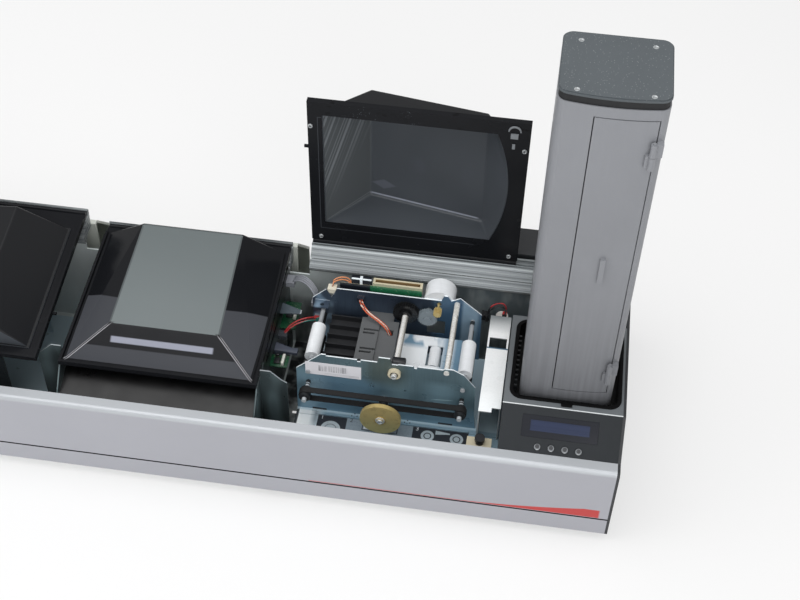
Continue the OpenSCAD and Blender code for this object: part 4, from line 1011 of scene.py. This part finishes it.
class PRINTER_OT_finishes(bpy.types.Operator):
    """Give every CAD node the finish of its material slot"""
    bl_idname = "printer.finishes"
    bl_label = "Finishes"

    def execute(self, context):
        finishes = slot_finishes(context.scene.printer_colours, context.scene.printer_sizes)
        for part in frame["record"]["subparts"]:
            node = frame["nodes"][part["node"]]
            node.data.materials.clear()
            node.data.materials.append(finishes[part["material_slot"]].material)
        return {"FINISHED"}


# Places of the screws in mm: on the lid (x, z), on a cap (x, y) and on an end cover (y, z).
LID_SCREWS = ((7.8, 171.5), (236.6, 167.5), (15.6, 9.6), (231.6, 10.6))
CAP_SCREWS = ((32.2, 77.3), (98.0, 77.3), (32.2, 148.0), (98.0, 148.0))
END_SCREWS = ((22, 32), (22, 108), (200, 30), (200, 146), (300, 32), (300, 120))
REAR_SCREWS = (-330, -180, -40, 80, 180, 330)
REAR_SCREW_HEIGHT = 62 * MM
HUB_SCREW = 3.3 * MM
FLUSH = 0.08


class PRINTER_OT_screws(bpy.types.Operator):
    """Set the cross-head screws of the lids, caps, covers and the flywheel"""
    bl_idname = "printer.screws"
    bl_label = "Screws"

    def execute(self, context):
        radius = context.scene.printer_sizes.screw
        steel = plain_steel()
        lid_x, lid_z = LID[0].x / MM, LID[0].z / MM + 3
        spots, flush = [], []
        for number, (x, z) in enumerate(LID_SCREWS):
            place = Vector(((lid_x + x) * MM, LID_FACE, (lid_z + z) * MM))
            spots.append((f"lid_screw_{number}", place, (0, -1, 0), "encoder_lid"))
        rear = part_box("rear_cover")
        for number, x in enumerate(REAR_SCREWS):
            place = Vector((x * MM, rear[1].y, rear[0].z + REAR_SCREW_HEIGHT))
            spots.append((f"rear_screw_{number}", place, (0, 1, 0), "base"))
        cap_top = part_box("tower_caps")[1].z
        for number, (x, y) in enumerate(CAP_SCREWS):
            for side, sign in SIDES:
                place = Vector((bay(x, 0, 0).x * sign, FRONT_Y + y * MM, cap_top))
                flush.append((f"cap_screw_{side}_{number}", place, (0, 0, 1), "base"))
        for side, sign in SIDES:
            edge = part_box("right_end_cover")[1].x * sign
            for number, (y, z) in enumerate(END_SCREWS):
                place = Vector((edge, FRONT_Y + y * MM, z * MM))
                flush.append((f"side_screw_{side}_{number}", place, (sign, 0, 0), "base"))
        set_copies(pan_screw(radius, steel), spots)
        set_copies(pan_screw(radius, steel, FLUSH), flush)
        hub, tip = self.front_end(*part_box("flywheel")), self.front_end(*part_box("main_shaft"))
        set_copies(pan_screw(HUB_SCREW, steel), [
            ("hub_screw", hub, (0, -1, 0), "wheel"),
            ("bush_screw", tip, (0, -1, 0), "main_drive"),
        ])
        washer = Blank("hub_washer", "cylinder", vertices=40, radius=5.1 * MM, depth=1.2 * MM,
                       location=hub + Vector((0, 0.85 * MM, 0)), rotation=(math.pi / 2, 0, 0))
        washer.edges(lambda middle, way: middle.y < hub.y + 0.4 * MM).bevel()
        washer.done(plain_steel("washer_steel", tone(226, 228, 228)), "wheel")
        return {"FINISHED"}

    def front_end(self, low, high):
        """The middle of a round node's front face."""
        return Vector(((low.x + high.x) / 2, low.y, (low.z + high.z) / 2))


WHITE_INK, DARK_INK = tone(222, 226, 230), tone(30, 32, 36)
NUMERALS = (("1", -199.6, WHITE_INK), ("2", -166.8, DARK_INK), ("3", -92.5, WHITE_INK))


class PRINTER_OT_labels(bpy.types.Operator):
    """Lay the instruction label on the chassis floor and the tally label on the front plate"""
    bl_idname = "printer.labels"
    bl_label = "Labels"

    def execute(self, context):
        thick = context.scene.printer_sizes.label
        ground = Vector((0, 0, FLOOR_Z))
        sheet("instruction_label", instruction_print(), {"z": thick},
              location=bay(-118.1, 60.3, 0) + ground, scale=(0.169, 0.0186, 1))
        for text, x, rgb in NUMERALS:
            self.numeral(text, bay(x, 62.2, thick / MM) + ground, rgb)
        sheet("tally_label", tally_print(), {"y": -thick}, rotation=(math.pi / 2, 0, 0),
              location=Vector((bay(-186.2, 0, 0).x, PLATE_Y, 0.146)), scale=(0.0615, 0.02, 1))
        return {"FINISHED"}

    def numeral(self, text, place, rgb):
        pick()
        bpy.ops.object.text_add(location=place)
        letter = bpy.context.object
        letter.data.body = text
        letter.data.size = 7.5 * MM
        letter.data.extrude = 0.04 * MM
        bpy.ops.object.convert(target="MESH")
        letter.name = letter.data.name = f"numeral_{text}"
        bpy.ops.object.transform_apply()
        ink = Finish(f"numeral_ink_{text}", rgb, 0.45)
        ink.mottle(0.85, 900, 2, 0.4, 0.7)
        letter.data.materials.append(ink.material)
        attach(letter, "base")


# The well's ring, and the comb on its wall.
WELL_Y = FRONT_Y + 117 * MM
WELL_SIZE = (0.1192, 0.1136, 1)
WELL_CORNER = 13.5 * MM
WELL_STOP = (61.2, 56.0, 155.0), (73.0, 61.6, 157.4)
LIP_WIDTH, LIP_HEIGHT = 4.2 * MM, 1.4 * MM
COMB_Y = FRONT_Y + 78 * MM
COMB_TEETH = 11
COMB_DROP, COMB_HEIGHT, COMB_DEPTH = 11 * MM, 10.6 * MM, 3.8 * MM
TOOTH_DEPTH, TOOTH_BORDER = 3.4 * MM, 0.6 * MM


class PRINTER_OT_well_trim(bpy.types.Operator):
    """Line the wells round both towers with a black ring, a comb and a stop"""
    bl_idname = "printer.well_trim"
    bl_label = "Well trim"

    def execute(self, context):
        black = rubber("well_rubber", 8, 0.1)
        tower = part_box("feeder_tower")
        deck_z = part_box("feeder_deck")[1].z
        for side, sign in SIDES:
            centre = Vector(((tower[0].x + tower[1].x) / 2 * sign, WELL_Y, deck_z))
            lip = Blank(f"well_ring_{side}", "plane", size=1, location=centre, scale=WELL_SIZE)
            lip.corners(WELL_CORNER).faces().inset(LIP_WIDTH)
            lip.drop(lambda spot, normal: (spot - centre).length < 0.01)
            lip.faces().extrude(z=LIP_HEIGHT)
            lip.edges(lambda spot, way: spot.z > deck_z + 0.001 and abs(way.z) < 0.5).bevel()
            lip.done(black)
            self.comb(side, sign, tower, deck_z, context.scene.printer_sizes.tooth)
            stop = block(f"well_stop_{side}", *WELL_STOP, black, rounding=0.6 * MM)
            if sign < 0:
                self.mirror(stop)
        return {"FINISHED"}

    def comb(self, side, sign, tower, deck_z, pitch):
        """A strip on the well's wall with teeth towards the tower."""
        wall = (tower[0].x - 0.0102) * sign
        face = wall + 0.00365 * sign
        run = pitch * (COMB_TEETH - 0.5)
        middle = (wall + 0.00175 * sign, COMB_Y + run / 2, deck_z - COMB_DROP)
        strip = Blank(f"well_comb_{side}", "grid", size=1, location=middle, scale=(COMB_DEPTH, run, 1),
                      x_subdivisions=1, y_subdivisions=2 * COMB_TEETH - 1)
        strip.faces().extrude(z=COMB_HEIGHT)
        strip.faces(lambda spot, normal: abs(spot.x - face) < 0.1 * MM
                    and int((spot.y - COMB_Y) / (pitch / 2)) % 2 == 0)
        strip.inset(TOOTH_BORDER, True).extrude(x=TOOTH_DEPTH * sign)
        strip.done(comb_plastic())

    def mirror(self, piece):
        pick(piece)
        bpy.ops.object.mode_set(mode="EDIT")
        bpy.ops.mesh.select_all(action="SELECT")
        bpy.ops.transform.resize(value=(-1, 1, 1), center_override=(0, 0, 0))
        bpy.ops.mesh.normals_make_consistent(inside=False)
        bpy.ops.object.mode_set(mode="OBJECT")


# Boards between the bays: their low and high corners, and how far back the coil reaches from the middle.
BOARDS = (
    ("rear", (-264, 157, 110), (-246, 199, 111.6), 10.5),
    ("front", (-264, 99, 110), (-244, 116, 111.6), 8),
)
SHELF_SIZE, CLIP_SIZE = (0.024, 0.016, 0.0015), (0.018, 0.012, 0.009)


class PRINTER_OT_gap_parts(bpy.types.Operator):
    """Fit the boards and brackets that show between the print bay and the encoder"""
    bl_idname = "printer.gap_parts"
    bl_label = "Gap parts"

    def execute(self, context):
        board = circuit_board("gap_board", dim(context.scene.printer_colours.board, 0.5))
        chip = moulded("chip_plastic", tone(26, 27, 30), 3000, 0.4)
        white = moulded("header_plastic", tone(222, 222, 214), 3000, 0.4)
        bright = zinc("gap_bracket_zinc", tone(64, 74, 82), tone(92, 104, 112), 20)
        # Painted highlight on the upward faces at the bracket's right end.
        edge_highlights(bright, bright.bay()[0].rise(-242, -240) * 0.6)
        for name, low, high, reach in BOARDS:
            block(f"gap_board_{name}", low, high, board, rounding=0.2 * MM)
            x, y, z = low[0], (low[1] + high[1]) / 2, high[2]
            block(f"gap_chip_{name}", (x + 4, y - 5, z), (x + 11, y + 4, z + 1.8), chip)
            block(f"gap_header_{name}", (x + 13, y - 7, z), (x + 16, y + 7, z + 5), white)
            block(f"gap_coil_{name}", (x + 4, y + 5.5, z), (x + 9, y + reach, z + 3.4), chip, rounding=MM)
        shelf = Blank("gap_shelf", "cube", size=1, location=bay(-252, 171, 129.2), scale=SHELF_SIZE)
        shelf.faces(towards(1)).resize(1, 0.35, 1, bay(-240, 166, 129.2))
        shelf.faces(towards(-1)).extrude(z=-10 * MM).done(bright)
        clip = Blank("gap_clip", "cube", size=1, location=bay(-255, 131, 104.5), scale=CLIP_SIZE)
        clip.faces(towards(1)).resize(1, 0.6, 0.5, bay(-246, 131, 101)).extrude(x=8 * MM)
        clip.edges().bevel(0.5 * MM).done(moulded("clip_plastic", tone(84, 90, 104), 2200, 0.5))
        return {"FINISHED"}


# The main shaft's front bearing: rings along y, as name, start, outer radius and depth in mm.
BEARING = (("ring", 61.5, 6.2, 3.5), ("sleeve", 65.0, 5.3, 6.0), ("washer", 71.0, 5.8, 4.0))
# Sockets in the rear cover: x from the middle, width and height in mm, all standing at one height.
SOCKETS = (("usb", -262, 16, 14), ("network", -236, 12.2, 11))
SOCKET_Z = 36


class PRINTER_OT_small_parts(bpy.types.Operator):
    """Add the board's relay, the shaft's bearing and the sockets in the rear cover"""
    bl_idname = "printer.small_parts"
    bl_label = "Small parts"

    def execute(self, context):
        dark = moulded("socket_core", tone(30, 31, 34), 3000, 0.4)
        block("board_relay", (-184.0, 182.6, 164), (-161.5, 188.0, 180), relay_plastic())
        block("bearing_saddle", (-122.6, 76.5, 163.4), (-107.6, 84.5, 171.0), dark, rounding=1.8 * MM)
        steel = plain_steel("bearing_steel")
        for name, start, outer, depth in BEARING:
            place = bay(-130.0, start, 106.5)
            ring(f"bearing_{name}", place, outer * MM, depth * MM, steel if name == "washer" else dark)
        shell = plain_steel("socket_steel", tone(190, 194, 196))
        rear = (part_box("rear_cover")[1].y - FRONT_Y) / MM
        for name, x, width, tall in SOCKETS:
            low, up = x - FEEDER_X / MM, SOCKET_Z + tall / 2
            socket = Blank(f"{name}_socket", "cube", size=1, location=bay(low + width / 2, rear - 6.5, up),
                           scale=(width * MM, 0.013, tall * MM))
            socket.faces(towards(0, 1)).inset(1.1 * MM).extrude(y=-9 * MM).done(shell)
            end = low + width - 3
            block(f"{name}_tongue", (low + 3, rear - 9.2, up - 1.2), (end, rear - 3, up + 1.2), dark)
        return {"FINISHED"}


PIECES = (PRINTER_OT_finishes, PRINTER_OT_screws, PRINTER_OT_labels, PRINTER_OT_well_trim,
          PRINTER_OT_gap_parts, PRINTER_OT_small_parts)
CLASSES = (PrinterColours, PrinterSizes, PRINTER_OT_stage, *PIECES)


class PRINTER_PT_panel(bpy.types.Panel):
    """Colours, sizes and pieces of the card printer"""
    bl_idname = "PRINTER_PT_panel"
    bl_label = "Card printer"
    bl_space_type = "VIEW_3D"
    bl_region_type = "UI"
    bl_category = "Printer"

    def draw(self, context):
        for group in (context.scene.printer_colours, context.scene.printer_sizes):
            for key in group.bl_rna.properties.keys():
                if key not in ("rna_type", "name"):
                    self.layout.prop(group, key)
        self.layout.operator(PRINTER_OT_stage.bl_idname)
        for piece in PIECES:
            self.layout.operator(piece.bl_idname)


def register():
    for kind in CLASSES:
        bpy.utils.register_class(kind)
    bpy.utils.register_class(PRINTER_PT_panel)
    bpy.types.Scene.printer_colours = bpy.props.PointerProperty(type=PrinterColours)
    bpy.types.Scene.printer_sizes = bpy.props.PointerProperty(type=PrinterSizes)


def unregister():
    del bpy.types.Scene.printer_sizes
    del bpy.types.Scene.printer_colours
    bpy.utils.unregister_class(PRINTER_PT_panel)
    for kind in reversed(CLASSES):
        bpy.utils.unregister_class(kind)


def main():
    register()
    bpy.ops.printer.stage()
    for piece in PIECES:
        area, name = piece.bl_idname.split(".")
        getattr(getattr(bpy.ops, area), name)()


if __name__ == "__main__":
    main()
